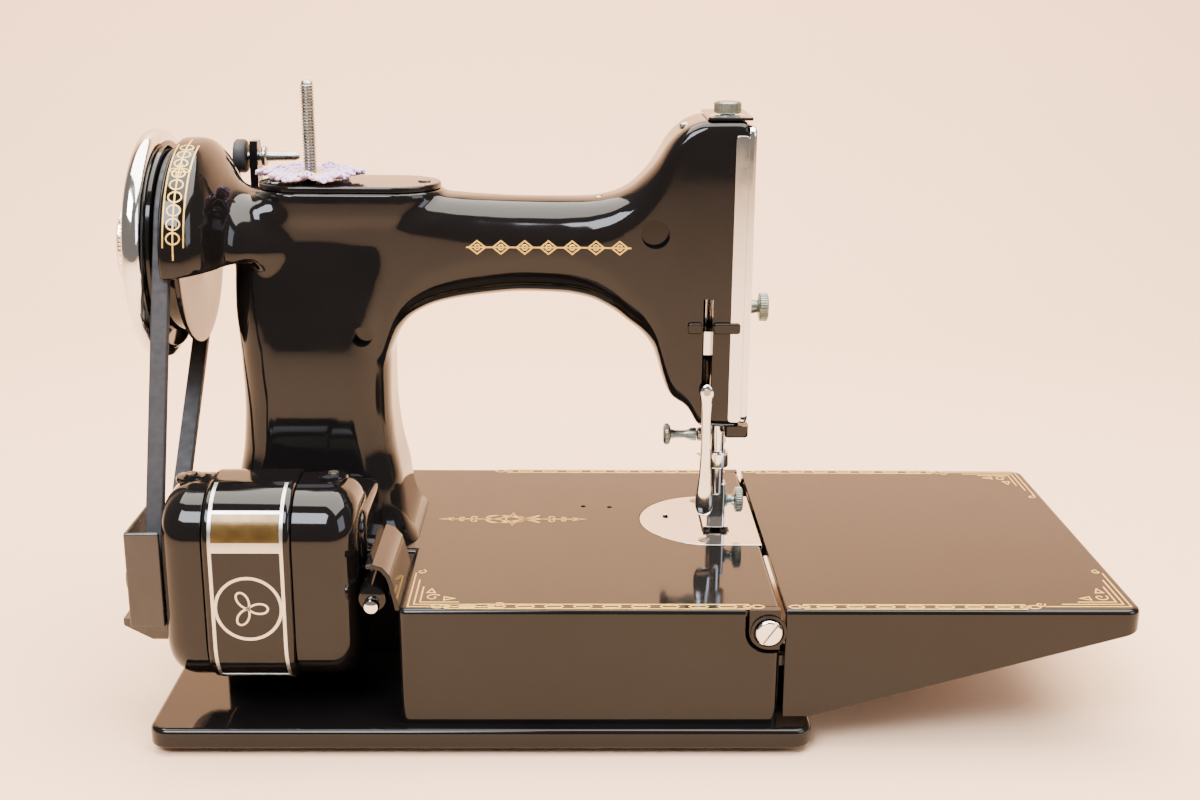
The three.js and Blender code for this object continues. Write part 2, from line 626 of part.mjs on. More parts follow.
const FACE_SCREW_Z = 157.2;

function facePlateScrew() {
  const face = HEAD_RIGHT + GAP + 4.2;
  const profile = [
    [0, face - 6], [2, face - 6], [2, face + GAP], [3.4, face + GAP], [3, face + 4.3], [5.8, face + 4.3],
    [6.35, face + 4.9], [6.35, face + 8], [5.8, face + 8.5], [0, face + 8.5]];
  return turned(profile, 'x', [0, NEEDLE_Y, FACE_SCREW_Z]);
}

// ---------------------------------------------------------------- bars, foot and needle

const CLAMP_Z = 95;
const NEEDLE_TIP = 66;
const FOOT_UNDERSIDE = BED_TOP + 0.7;

function needleBar() {
  const bar = rod('z', NEEDLE_X, NEEDLE_Y, BAR_RADIUS, CLAMP_Z + 9 - 7, 224);
  const stud = box(NEEDLE_X - 6, NEEDLE_X + 3.6, NEEDLE_Y - 3.6, NEEDLE_Y + 3.6, 150, 162);
  return cut(join(bar, stud), rod('z', NEEDLE_X, NEEDLE_Y, 1.1 + GAP / 2, 90, CLAMP_Z + 14, 12));
}

function needleClamp() {
  const body = turned(
    [[0, CLAMP_Z], [3.8, CLAMP_Z], [4.9, CLAMP_Z + 1.2], [4.9, CLAMP_Z + 8], [4.4, CLAMP_Z + 9], [0, CLAMP_Z + 9]],
    'z', [NEEDLE_X, NEEDLE_Y, 0]);
  const lug = box(NEEDLE_X - 8, NEEDLE_X, NEEDLE_Y - 3, NEEDLE_Y + 3, CLAMP_Z + 1.5, CLAMP_Z + 7.5);
  return cut(
    join(body, lug),
    rod('z', NEEDLE_X, NEEDLE_Y, BAR_RADIUS + GAP, CLAMP_Z + 2 - GAP, 120),
    rod('z', NEEDLE_X, NEEDLE_Y, 1.1 + GAP / 2, 90, 120, 12),
    rod('x', NEEDLE_Y, CLAMP_Z + 4.5, 1.6 + GAP, NEEDLE_X - 12, NEEDLE_X - 1, 16));
}

function needleClampScrew() {
  const head = NEEDLE_X - 23;
  const profile = [
    [0, head], [4.4, head], [4.8, head + 0.6], [4.8, head + 2.2], [2.4, head + 3.2], [2, head + 9],
    [2.8, head + 12], [2.8, NEEDLE_X - 8 - GAP], [1.6, NEEDLE_X - 8 - GAP], [1.6, NEEDLE_X - 4], [0, NEEDLE_X - 4]];
  return turned(profile, 'x', [0, NEEDLE_Y, CLAMP_Z + 4.5]);
}

function needle() {
  const profile = [
    [0, NEEDLE_TIP], [0.5, NEEDLE_TIP + 4], [0.5, CLAMP_Z - 7], [1.1, CLAMP_Z - 5], [1.1, CLAMP_Z + 12],
    [0, CLAMP_Z + 12]];
  return turned(profile, 'z', [NEEDLE_X, NEEDLE_Y, 0], 12);
}

function presserBar() {
  const bar = rod('z', NEEDLE_X, PRESSER_Y, BAR_RADIUS, FOOT_UNDERSIDE + 16, 214);
  const bracket = box(LIFTER_X - 1.9, NEEDLE_X, PRESSER_Y - 5.6, PRESSER_Y + 2, 140, 150);
  return join(bar, bracket);
}

function threadCutter() {
  const shoulder = BAR_RADIUS + GAP;
  const collar = ring('z', NEEDLE_X, PRESSER_Y, shoulder, shoulder + 1.5, 89, 95.5, 24);
  const blade = box(NEEDLE_X - 9, NEEDLE_X - shoulder - 0.3, PRESSER_Y - 1, PRESSER_Y + 1, 90, 94.5);
  return join(collar, blade);
}

function presserFoot() {
  const z = FOOT_UNDERSIDE;
  const sole = prism(
    [[PRESSER_Y - 3.5, z + 1.4], [PRESSER_Y - 1.5, z], [PRESSER_Y + 17, z], [PRESSER_Y + 22, z + 4.2],
      [PRESSER_Y + 21, z + 5], [PRESSER_Y + 16, z + 1.7], [PRESSER_Y - 1, z + 1.7]],
    'x', NEEDLE_X - 5.5, NEEDLE_X + 5.5);
  const toeSlot = box(NEEDLE_X - 1.4, NEEDLE_X + 1.4, NEEDLE_Y - 3, PRESSER_Y + 25, z - 1, z + 8);
  const shank = box(NEEDLE_X - 4, NEEDLE_X + 4, PRESSER_Y - 2.5, PRESSER_Y + 4.6, z + 1, z + 21);
  const barSeat = rod('z', NEEDLE_X, PRESSER_Y, BAR_RADIUS + GAP, z + 16 - GAP, z + 30);
  const screwHole = rod('x', PRESSER_Y + 1, z + 12.5, 1.8 + GAP, NEEDLE_X, NEEDLE_X + 8, 16);
  return cut(join(sole, shank), toeSlot, barSeat, screwHole);
}

function presserFootScrew() {
  const left = NEEDLE_X + 1;
  const face = NEEDLE_X + 4 + GAP;
  const profile = [
    [0, left], [1.8, left], [1.8, face], [3.4, face], [2, face + 1.2], [2, face + 3.2], [3.4, face + 4.2],
    [5.2, face + 4.2], [5.6, face + 4.6], [5.6, face + 7], [5.2, face + 7.4], [0, face + 7.4]];
  return turned(profile, 'x', [0, PRESSER_Y + 1, FOOT_UNDERSIDE + 12.5]);
}

const LIFTER_X = 221.5;
const LIFTER_PIVOT_Z = 125.5;

function presserLifter() {
  const shape = new THREE.Shape();
  const tail = LIFTER_PIVOT_Z - 50.5;
  shape.moveTo(LIFTER_X - 2.2, LIFTER_PIVOT_Z);
  shape.bezierCurveTo(
    LIFTER_X - 2, LIFTER_PIVOT_Z - 22, LIFTER_X - 3.6, tail + 14, LIFTER_X - 3.8, tail);
  shape.absarc(LIFTER_X, tail, 3.8, Math.PI, 2 * Math.PI);
  shape.bezierCurveTo(
    LIFTER_X + 3.6, tail + 14, LIFTER_X + 2, LIFTER_PIVOT_Z - 22, LIFTER_X + 2.2, LIFTER_PIVOT_Z);
  shape.absarc(LIFTER_X, LIFTER_PIVOT_Z, 2.2, 0, Math.PI);
  const handle = prism(shape, 'y', HEAD_REAR - 5, HEAD_REAR - 2, 0.8);
  const hub = rod('y', LIFTER_X, LIFTER_PIVOT_Z, 2, HEAD_REAR - 2.5, HEAD_REAR + 3.5, 20);
  return join(handle, hub);
}

function pressureScrew() {
  const profile = [
    [0, 224], [3, 224], [3, HEAD_TOP + 0.6], [3, HEAD_TOP + 1.8], [5.2, HEAD_TOP + 1.8], [5.75, HEAD_TOP + 2.4],
    [5.75, HEAD_TOP + 6.8], [5.2, HEAD_TOP + 7.4], [0, HEAD_TOP + 7.4]];
  return turned(profile, 'z', [NEEDLE_X, PRESSER_Y, 0]);
}

// ---------------------------------------------------------------- thread path on the front

const TENSION_X = 222;
const TENSION_Z = 142;
const TAKE_UP_X = 222;
const TAKE_UP_PIVOT_Z = 190;

function takeUpLever() {
  const outline = [
    [HEAD_FRONT - 10, TAKE_UP_PIVOT_Z - 3], [HEAD_FRONT + 9, TAKE_UP_PIVOT_Z + 5],
    [HEAD_FRONT + 12, TAKE_UP_PIVOT_Z + 9], [HEAD_FRONT + 9, TAKE_UP_PIVOT_Z + 11],
    [HEAD_FRONT + 4, TAKE_UP_PIVOT_Z + 6.5], [HEAD_FRONT - 10, TAKE_UP_PIVOT_Z + 3]];
  const lever = prism(outline, 'x', TAKE_UP_X - 1.1, TAKE_UP_X + 1.1);
  const hub = rod('x', HEAD_FRONT - 11, TAKE_UP_PIVOT_Z, 4, TAKE_UP_X - 2.4, TAKE_UP_X + 2.4, 20);
  const eye = rod('x', HEAD_FRONT + 9, TAKE_UP_PIVOT_Z + 8, 0.9, TAKE_UP_X - 3, TAKE_UP_X + 3, 12);
  return cut(join(lever, hub), eye);
}

function tensionStud() {
  const face = HEAD_FRONT;
  const profile = [
    [0, face - 6], [2.5, face - 6], [2.5, face + GAP], [9, face + GAP], [9, face + 1.5], [3.4, face + 2.2],
    [10.5, face + 3.2], [10.5, face + 3.9], [4, face + 4.3], [10.5, face + 4.8], [10.5, face + 5.5],
    [3.4, face + 6.3], [2, face + 6.4], [2, face + 15], [0, face + 15]];
  return turned(profile, 'y', [TENSION_X, 0, TENSION_Z]);
}

function tensionDial() {
  const [low, high] = [HEAD_FRONT + 8, HEAD_FRONT + 22];
  const profile = [
    [2 + GAP, low], [8.5, low], [9.4, low + 1], [9.4, low + 5], [6.4, low + 6.5], [6, high - 1], [5, high],
    [0, high], [0, high - 6.5], [2 + GAP, high - 6.5], [2 + GAP, low]];
  return turned(profile, 'y', [TENSION_X, 0, TENSION_Z]);
}

// ---------------------------------------------------------------- stitch plate, lamp, switch

const STITCH_X = 56;
const STITCH_Z = 122;
const PILLAR_FRONT = ARM_Y + 28.5;

function stitchPlate() {
  const face = PILLAR_FRONT + GAP;
  const plate = prism(roundedRectangle(STITCH_X - 9, STITCH_X + 9, STITCH_Z - 21, STITCH_Z + 21, 4), 'y', face, face + 1.5);
  return cut(plate, rod('y', STITCH_X, STITCH_Z, 3 + GAP, face - 2, face + 3, 16));
}

function stitchLever() {
  const face = PILLAR_FRONT + GAP + 1.5;
  const shaft = rod('y', STITCH_X, STITCH_Z, 3, ARM_Y + 14, face + 2, 16);
  const lever = prism(
    [[STITCH_X - 3.2, STITCH_Z + 3], [STITCH_X - 2, STITCH_Z - 14], [STITCH_X + 2, STITCH_Z - 14],
      [STITCH_X + 3.2, STITCH_Z + 3]],
    'y', face + GAP, face + 2.6);
  const knob = turned(
    [[0, face + 1], [4, face + 1], [4.6, face + 3], [4.6, face + 8], [3.6, face + 9], [0, face + 9]],
    'y', [STITCH_X, 0, STITCH_Z - 13]);
  return join(shaft, lever, knob);
}

const LAMP_X = [104, 160];
const LAMP_Z = 184;

// A half-tube shade on the front of the arm, open below.
function lampShade() {
  const face = ARM_FRONT + GAP;
  const centre = face + 15;
  const outer = rod('x', centre, LAMP_Z, 15, LAMP_X[0], LAMP_X[1], 32);
  const inner = rod('x', centre, LAMP_Z, 13.4, LAMP_X[0] + 1.6, LAMP_X[1] - 1.6, 32);
  const below = box(0, 300, face - 5, 300, 100, LAMP_Z - 3);
  const mount = box(LAMP_X[0] + 12, LAMP_X[1] - 12, face, face + 2, LAMP_Z - 3, LAMP_Z + 4);
  return join(cut(outer, inner, below), mount);
}

function lampBulb() {
  const x = LAMP_X[0] + 4;
  const profile = [
    [0, x], [6, x], [6, x + 12], [9, x + 18], [9.4, x + 30], [7, x + 38], [3.5, x + 42], [0, x + 43]];
  return turned(profile, 'x', [0, ARM_FRONT + GAP + 15, LAMP_Z - 2]);
}

const SWITCH_X = 44;
const SWITCH_Z = 40;

function lampSwitch() {
  const face = BED_FRONT + GAP;
  const profile = [
    [0, face], [4.5, face], [4.5, face + 2], [3.4, face + 2.4], [4.2, face + 3.2], [4.2, face + 4.6],
    [3.6, face + 5.2], [0, face + 5.2]];
  return turned(profile, 'y', [SWITCH_X, 0, SWITCH_Z]);
}

// ---------------------------------------------------------------- handwheel and shafts

function handwheel() {
  const bore = SHAFT_RADIUS + GAP;
  const half = BELT_WIDTH / 2 + GAP;
  const bottom = BELT_WHEEL_RADIUS - BELT_THICKNESS / 2 - 0.6;
  const lip = BELT_WHEEL_RADIUS + 1.9;
  const [left, right] = [BELT_X - half, BELT_X + half];
  const profile = [
    [bore, -15], [bore, 8.5], [13, 8.5], [16, right + 2], [lip - 0.6, right + 2], [lip, right + 1],
    [bottom, right], [bottom, left], [lip, left - 0.6], [lip, left - 1.8], [WHEEL_RADIUS - 3.6, left - 2],
    [WHEEL_RADIUS - 2.4, -4.8], [WHEEL_RADIUS - 0.4, -6.2], [WHEEL_RADIUS, -8.1], [WHEEL_RADIUS, -10.2],
    [WHEEL_RADIUS - 1.6, -12.3], [WHEEL_RADIUS - 5, -13.3], [WHEEL_RADIUS - 8.6, -12.6], [WHEEL_RADIUS - 11, -10.6],
    [24, -12.5], [21.5, -15], [bore, -15]];
  return turned(profile, 'x', [0, ARM_Y, SHAFT_Z], 36);
}

function clutchKnob() {
  const bore = SHAFT_RADIUS + GAP;
  const outline = [
    [0, CLUTCH_LEFT], [14, CLUTCH_LEFT], [18.6, CLUTCH_LEFT + 1.4], [19.4, CLUTCH_LEFT + 2.6],
    [19.4, CLUTCH_LEFT + 6.6], [18.4, CLUTCH_LEFT + 7.6], [12, CLUTCH_LEFT + 8.6], [bore, CLUTCH_LEFT + 8.6],
    [bore, CLUTCH_LEFT + 3.6], [0, CLUTCH_LEFT + 3.6]];
  return turned(outline, 'x', [0, ARM_Y, SHAFT_Z], 28);
}

const CRANK_X = [210, 214];
const CRANK_REACH = 13;

function armShaft() {
  const shaft = rod('x', ARM_Y, SHAFT_Z, SHAFT_RADIUS, CLUTCH_LEFT + 4, CRANK_X[1]);
  const crank = prism([
    [ARM_Y - 8, SHAFT_Z - 9], [ARM_Y + 8, SHAFT_Z - 9], [ARM_Y + 4, SHAFT_Z + CRANK_REACH + 3],
    [ARM_Y - 4, SHAFT_Z + CRANK_REACH + 3]], 'x', ...CRANK_X);
  const pin = rod('x', ARM_Y, SHAFT_Z + CRANK_REACH, 2.2, CRANK_X[0] + 1, CRANK_X[1] + 4, 16);
  return join(shaft, crank, pin);
}

// A straight-cut bevel gear. Its cone's tip is at the origin and its axis runs along +Z, so
// two gears of one module at right angles meet on a line from that point. The first tooth
// stands on the +X side, and phase turns the gear by that many teeth.
function bevelGear({ teeth, module }, mateTeeth, bore, phase) {
  const angle = Math.atan2(teeth, mateTeeth);
  const [inner, outer] = [0.7 * module * teeth, module * teeth];
  const along = (r, depth) => [
    r - depth * Math.cos(angle), r / Math.tan(angle) + depth * Math.sin(angle)];
  const rootDepth = 1;
  const back = outer / Math.tan(angle) + 4;
  const root = [
    [bore, along(inner, rootDepth)[1] + 0.6], along(inner, rootDepth), along(outer, rootDepth),
    [outer - 2, back], [bore, back]];
  const cone = turned([...root, root[0]], 'z', [0, 0, 0], 2 * teeth);
  const width = 0.34 * (2 * Math.PI * inner) / teeth;
  const tipDepth = -0.5;
  const tooth = [
    along(inner, tipDepth), along(outer, tipDepth), along(outer - 0.4, rootDepth + 0.8),
    along(inner + 0.2, rootDepth + 0.5)];
  const ribs = Array.from({ length: teeth }, (_, i) => prism(tooth, 'y', -width / 2, width / 2)
    .rotate([0, 0, ((i + phase) * 360) / teeth]));
  return join(cone, ...ribs);
}

const PILLAR_SHAFT_RADIUS = 4;
const HOOK_SHAFT_RADIUS = 3.5;
const UPPER_MESH = [PILLAR_SHAFT_X, ARM_Y, SHAFT_Z];
const LOWER_MESH = [PILLAR_SHAFT_X, ARM_Y, HOOK_Z];

function armShaftGear() {
  return bevelGear(UPPER_GEAR, UPPER_GEAR.teeth, SHAFT_RADIUS + GAP, 0.5)
    .rotate([0, -90, 0]).translate(UPPER_MESH);
}

function verticalUpperGear() {
  return bevelGear(UPPER_GEAR, UPPER_GEAR.teeth, PILLAR_SHAFT_RADIUS + GAP, 0)
    .rotate([180, 0, 0]).translate(UPPER_MESH);
}

function verticalLowerGear() {
  return bevelGear(LOWER_GEAR, HOOK_GEAR.teeth, PILLAR_SHAFT_RADIUS + GAP, 0).translate(LOWER_MESH);
}

function hookShaftGear() {
  return bevelGear(HOOK_GEAR, LOWER_GEAR.teeth, HOOK_SHAFT_RADIUS + GAP, 0.5)
    .rotate([0, 90, 0]).translate(LOWER_MESH);
}

function verticalShaft() {
  return rod('z', PILLAR_SHAFT_X, ARM_Y, PILLAR_SHAFT_RADIUS, HOOK_Z + 7, SHAFT_Z - 8);
}

function hookShaft() {
  return rod('x', ARM_Y, HOOK_Z, HOOK_SHAFT_RADIUS, PILLAR_SHAFT_X + 12, NEEDLE_X - 10);
}

// The rotating hook: a cup with a cut-away rim that ends in the hook's point.
function rotatingHook() {
  const back = NEEDLE_X - 10 + GAP;
  const lip = NEEDLE_X - 1.4;
  const profile = [
    [0, back], [HOOK_RADIUS - 4, back], [HOOK_RADIUS, back + 2], [HOOK_RADIUS, lip], [HOOK_RADIUS - 1.8, lip],
    [HOOK_RADIUS - 1.8, back + 3], [0, back + 3]];
  const cup = turned(profile, 'x', [0, ARM_Y, HOOK_Z]);
  const gapCut = prism(
    [[ARM_Y, HOOK_Z], [ARM_Y + 30, HOOK_Z + 10], [ARM_Y + 30, HOOK_Z - 14]], 'x', back + 4, lip + 1);
  return cut(cup, gapCut);
}

const CASE_LEFT = NEEDLE_X + 1.5;
const CASE_RIGHT = NEEDLE_X + 13;

function bobbinCase() {
  const r = HOOK_RADIUS - 2.6;
  const profile = [
    [0, CASE_LEFT], [r, CASE_LEFT], [r, CASE_RIGHT], [r - 1.4, CASE_RIGHT], [r - 1.4, CASE_LEFT + 1.2],
    [1.8, CASE_LEFT + 1.2], [1.8, CASE_RIGHT - 1], [0, CASE_RIGHT - 1]];
  return turned(profile, 'x', [0, ARM_Y, HOOK_Z]);
}

function bobbin() {
  const r = HOOK_RADIUS - 4.6;
  const [left, right] = [CASE_LEFT + 1.2 + GAP, CASE_RIGHT - 1.2];
  const bore = 1.8 + GAP;
  const profile = [
    [bore, left], [r, left], [r, left + 0.7], [r - 3, left + 0.9], [r - 3, right - 0.9], [r, right - 0.7],
    [r, right], [bore, right], [bore, left]];
  return turned(profile, 'x', [0, ARM_Y, HOOK_Z]);
}

// ---------------------------------------------------------------- motor and belt

const motorCentre = [MOTOR_Y, MOTOR_Z];

function motorOutline(grow) {
  return roundedRectangle(
    MOTOR_Y - MOTOR_HALF_DEPTH - grow, MOTOR_Y + MOTOR_HALF_DEPTH + grow,
    MOTOR_Z - MOTOR_HALF_HEIGHT - grow, MOTOR_Z + MOTOR_HALF_HEIGHT + grow, MOTOR_CORNER + grow);
}

function motorHousing() {
  const blank = prism(motorOutline(1.2), 'x', MOTOR_BAND_LEFT, MOTOR_BAND_RIGHT, 0.6);
  return cut(blank, rod('x', ...motorCentre, ROTOR_RADIUS + 1.5, 0, 100, 32));
}

function motorCap(side) {
  const left = side === 'left';
  const [from, to] = left
    ? [MOTOR_LEFT, MOTOR_BAND_LEFT - GAP]
    : [MOTOR_BAND_RIGHT + GAP, MOTOR_RIGHT];
  const bevel = 7;
  const [low, high] = left ? [from, to + bevel] : [from - bevel, to];
  const blank = prism(motorOutline(0), 'x', low, high, bevel, 3)
    .intersect(box(from, to, -100, 200, -100, 200));
  const wall = 5;
  const hollow = left
    ? rod('x', ...motorCentre, ROTOR_RADIUS + 1.5, from + wall, to + 1, 32)
    : rod('x', ...motorCentre, ROTOR_RADIUS + 1.5, from - 1, to - wall, 32);
  return cut(blank, hollow, rod('x', ...motorCentre, 3 + GAP, from - 1, to + 1, 20));
}

function motorRotor() {
  const core = rod('x', ...motorCentre, ROTOR_RADIUS, MOTOR_BAND_LEFT - 6, MOTOR_BAND_RIGHT + 6, 28);
  const commutator = rod('x', ...motorCentre, 9, MOTOR_BAND_RIGHT + 6 - 1, MOTOR_BAND_RIGHT + 14, 20);
  const shaft = rod('x', ...motorCentre, 3, -9, MOTOR_RIGHT + 1, 20);
  return join(core, commutator, shaft);
}

function motorPulley() {
  const half = BELT_WIDTH / 2 + GAP;
  const bore = 3 + GAP;
  const bottom = BELT_MOTOR_RADIUS - BELT_THICKNESS / 2 - 0.5;
  const lip = BELT_MOTOR_RADIUS + 2;
  const [left, right] = [BELT_X - half, BELT_X + half];
  const profile = [
    [bore, left - 3], [lip - 3, left - 3], [lip, left - 1], [lip, left - 0.5], [bottom, left], [bottom, right],
    [lip - 1, right + 0.4], [lip - 1, right + 1], [bore, right + 1], [bore, left - 3]];
  return turned(profile, 'x', [0, ...motorCentre], 32);
}

function driveBelt() {
  const wheel = new THREE.Vector2(ARM_Y, SHAFT_Z);
  const motor = new THREE.Vector2(MOTOR_Y, MOTOR_Z);
  const line = motor.clone().sub(wheel);
  const heading = line.angle();
  const spread = Math.acos((BELT_WHEEL_RADIUS - BELT_MOTOR_RADIUS) / line.length());
  const loop = (offset, clockwise) => {
    const path = clockwise ? new THREE.Path() : new THREE.Shape();
    const [big, small] = [BELT_WHEEL_RADIUS + offset, BELT_MOTOR_RADIUS + offset];
    path.absarc(wheel.x, wheel.y, big, heading + spread, heading - spread + 2 * Math.PI);
    path.absarc(motor.x, motor.y, small, heading - spread, heading + spread);
    return path;
  };
  const outline = loop(BELT_THICKNESS / 2, false);
  outline.holes.push(loop(-BELT_THICKNESS / 2, true));
  const geometry = new THREE.ExtrudeGeometry(outline, { depth: BELT_WIDTH, bevelEnabled: false, curveSegments: 20 });
  geometry.applyMatrix4(AXES.x);
  geometry.translate(BELT_X - BELT_WIDTH / 2, 0, 0);
  return solidOf(geometry);
}

function beltGuard() {
  const [left, right] = [-7.6, MOTOR_LEFT - GAP];
  const [rear, front] = [MOTOR_Y - 17.5, MOTOR_Y + 17];
  const [bottom, top] = [MOTOR_Z - 16.3, MOTOR_Z + 23];
  const wall = 1.8;
  return cut(
    box(left, right, rear, front, bottom, top),
    box(left + wall, right + 1, rear + wall, front + 1, bottom + wall, top + 1),
    rod('x', ...motorCentre, 3 + 2 * GAP, left - 1, left + wall + 1, 20));
}

// The three-pin socket below the belt guard.
function powerInlet() {
  const top = MOTOR_Z - 16.3 - GAP;
  const outline = [[-13, top], [MOTOR_LEFT - 1, top], [MOTOR_LEFT - 1, top - 9], [-2, top - 9], [-13, top - 3]];
  const body = prism(outline, 'y', MOTOR_Y - 8, MOTOR_Y + 17);
  const pocket = box(-6, 4, MOTOR_Y - 5, MOTOR_Y + 14, top - 12, top - 4);
  const pins = [-1.5, 4.5, 10.5].map((y) => rod('z', 1, MOTOR_Y + y, 1.1, top - 8, top - 3, 12));
  return join(cut(body, pocket), ...pins);
}

// ---------------------------------------------------------------- bobbin winder

const WINDER_Y = 144;
const WINDER_Z = 216;

function winderBracket() {
  const left = 22.5;
  const outline = [
    [WINDER_Y - 5, 186], [WINDER_Y + 2, 186], [WINDER_Y + 6, WINDER_Z], [WINDER_Y + 3, WINDER_Z + 7],
    [WINDER_Y - 4, WINDER_Z + 7], [WINDER_Y - 6, WINDER_Z]];
  const arm = prism(outline, 'x', left, left + 3.5);
  const shelf = box(left + 2.5, 44, WINDER_Y - 9.5, WINDER_Y + 2, 186, 190);
  const pad = box(35, 44, ARM_FRONT + GAP, WINDER_Y - 9, 184, 194);
  return cut(join(arm, shelf, pad), rod('x', WINDER_Y, WINDER_Z, 2 + GAP, 0, 50));
}

function winderSpindle() {
  const profile = [
    [0, 15.5], [6.5, 15.5], [6.5, 21], [2, 21.5], [2, 27], [4.5, 27.5], [4.5, 29], [2.4, 29.5], [2, 43], [0, 44]];
  return turned(profile, 'x', [0, WINDER_Y, WINDER_Z]);
}

// ---------------------------------------------------------------- list of pieces

enamelled('bed_casting', bedCasting());
enamelled('arm_casting', armCasting());
enamelled('drip_pan', dripPan());
steel('drip_pan_screw', dripPanScrew());
Object.entries(footPlaces).forEach(([place, at]) => rubber(`rubber_foot_${place}`, rubberFoot(at)));
chromed('throat_plate', throatPlate());
steel('feed_dog', feedDog());
enamelled('bed_leaf', bedLeaf());
['rear', 'front'].forEach((side) => {
  enamelled(`leaf_bracket_${side}`, hingeBracket(side));
  chromed(`leaf_screw_${side}`, hingeScrew(side));
});
enamelled('arm_cover', armCover());
steel('spool_pin', spoolPin());
addPart('spool_mat', spoolMat(), '#b9a0d2', 0.95, 0);
chromed('face_plate', facePlate());
steel('face_plate_screw', facePlateScrew());
steel('needle_bar', needleBar());
steel('needle_clamp', needleClamp());
steel('needle_clamp_screw', needleClampScrew());
chromed('needle', needle());
steel('presser_bar', presserBar());
steel('thread_cutter', threadCutter());
chromed('presser_foot', presserFoot());
steel('presser_foot_screw', presserFootScrew());
chromed('presser_lifter', presserLifter());
steel('pressure_screw', pressureScrew());
chromed('take_up_lever', takeUpLever());
chromed('tension_stud', tensionStud());
steel('tension_dial', tensionDial());
chromed('stitch_plate', stitchPlate());
steel('stitch_lever', stitchLever());
enamelled('lamp_shade', lampShade());
addPart('lamp_bulb', lampBulb(), '#e9e6dc', 0.1, 0);
steel('lamp_switch', lampSwitch());
enamelled('handwheel', handwheel());
chromed('clutch_knob', clutchKnob());
steel('arm_shaft', armShaft());
steel('arm_shaft_gear', armShaftGear());
steel('vertical_shaft', verticalShaft());
steel('vertical_upper_gear', verticalUpperGear());
steel('vertical_lower_gear', verticalLowerGear());
steel('hook_shaft', hookShaft());
steel('hook_shaft_gear', hookShaftGear());
chromed('rotating_hook', rotatingHook());
chromed('bobbin_case', bobbinCase());
steel('bobbin', bobbin());
enamelled('motor_housing', motorHousing());
enamelled('motor_cap_left', motorCap('left'));
enamelled('motor_cap_right', motorCap('right'));
steel('motor_rotor', motorRotor());
steel('motor_pulley', motorPulley());
rubber('drive_belt', driveBelt());
enamelled('belt_guard', beltGuard());
enamelled('power_inlet', powerInlet());
enamelled('winder_bracket', winderBracket());
steel('winder_spindle', winderSpindle());

layout.position.set(-(CLUTCH_LEFT + LEAF_RIGHT) / 2, -BASE_WIDTH / 2, 0);
const group = new THREE.Group();
group.add(layout);

export default group;
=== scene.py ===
"""Looks of a black portable sewing machine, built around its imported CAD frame.

Lengths are in millimetres from the left motor-side corner of the base plate, X towards the
folding leaf, Y towards the operator, Z up from the table. point() turns them into metres.
"""

import math

import bmesh
import bpy
from bpy.props import FloatProperty, FloatVectorProperty, PointerProperty
from mathutils import Matrix, Vector


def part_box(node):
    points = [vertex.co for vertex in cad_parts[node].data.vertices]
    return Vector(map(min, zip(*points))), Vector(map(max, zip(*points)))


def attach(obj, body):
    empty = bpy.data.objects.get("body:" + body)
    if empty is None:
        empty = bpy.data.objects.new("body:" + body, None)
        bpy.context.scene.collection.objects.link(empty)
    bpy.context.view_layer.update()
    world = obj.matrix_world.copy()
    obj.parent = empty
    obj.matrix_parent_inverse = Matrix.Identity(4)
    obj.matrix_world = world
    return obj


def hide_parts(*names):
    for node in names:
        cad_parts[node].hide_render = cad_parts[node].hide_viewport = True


bl_info = {
    "name": "Portable sewing machine",
    "version": (1, 0, 0),
    "blender": (4, 5, 0),
    "location": "View3D > Sidebar > Sewing machine",
    "description": "Builds the visible pieces of a black portable sewing machine around its CAD frame",
    "category": "Add Mesh",
}

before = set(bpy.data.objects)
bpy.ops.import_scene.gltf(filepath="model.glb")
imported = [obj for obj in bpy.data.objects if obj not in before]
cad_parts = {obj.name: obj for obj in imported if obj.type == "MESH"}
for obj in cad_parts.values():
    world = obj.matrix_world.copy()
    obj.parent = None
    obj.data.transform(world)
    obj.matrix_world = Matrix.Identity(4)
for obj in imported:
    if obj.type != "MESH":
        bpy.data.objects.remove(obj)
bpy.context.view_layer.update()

# ---------------------------------------------------------------- sizes taken from the frame

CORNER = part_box("bed_casting")[0]


def point(x, y, z):
    """Machine millimetres as a place in the frame, in metres."""
    return Vector((CORNER.x + x / 1000, CORNER.y + y / 1000, z / 1000))


def span(node, axis):
    """The lowest and highest place of a CAD node along x, y or z, in machine millimetres."""
    i = "xyz".index(axis)
    shift = (CORNER.x, CORNER.y, 0)[i]
    low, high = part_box(node)
    return (low[i] - shift) * 1000, (high[i] - shift) * 1000


BASE_X, BASE_Y = span("bed_casting", "x"), span("bed_casting", "y")
BED_TOP = span("bed_casting", "z")[1]
BASE_Z = (3.0, 11.2)
BED_X = (98.2, span("leaf_bracket_rear", "x")[0] + 12.5)
BED_Y = (span("bed_leaf", "y")[0], span("bed_leaf", "y")[1])
LEAF_X = span("bed_leaf", "x")
ARM_Y = sum(span("arm_shaft", "y")) / 2
SHAFT_Z = 183.0
HEAD_X = (203.7, 236.0)
HEAD_Z = (108.6, 238.2)
HEAD_REAR = ARM_Y - 22
HEAD_FRONT = ARM_Y + 22
HOOD_RADIUS = 45.2
HOOD_SPREAD = 1.08
WHEEL_RADIUS = 48.5
BELT_X = sum(span("drive_belt", "x")) / 2
BELT_WHEEL_RADIUS = 38.5
BELT_MOTOR_RADIUS = 12
MOTOR_Y = sum(span("motor_pulley", "y")) / 2
MOTOR_Z = sum(span("motor_pulley", "z")) / 2
MOTOR_X = (span("motor_cap_left", "x")[0], span("motor_cap_right", "x")[1])
MOTOR_BAND = span("motor_housing", "x")
MOTOR_HALF_HEIGHT = 39.5
MOTOR_HALF_DEPTH = 25
MOTOR_CORNER = 20
BAND_PROUD = 1.2
LABEL_X, LABEL_Z = 41, 59.4
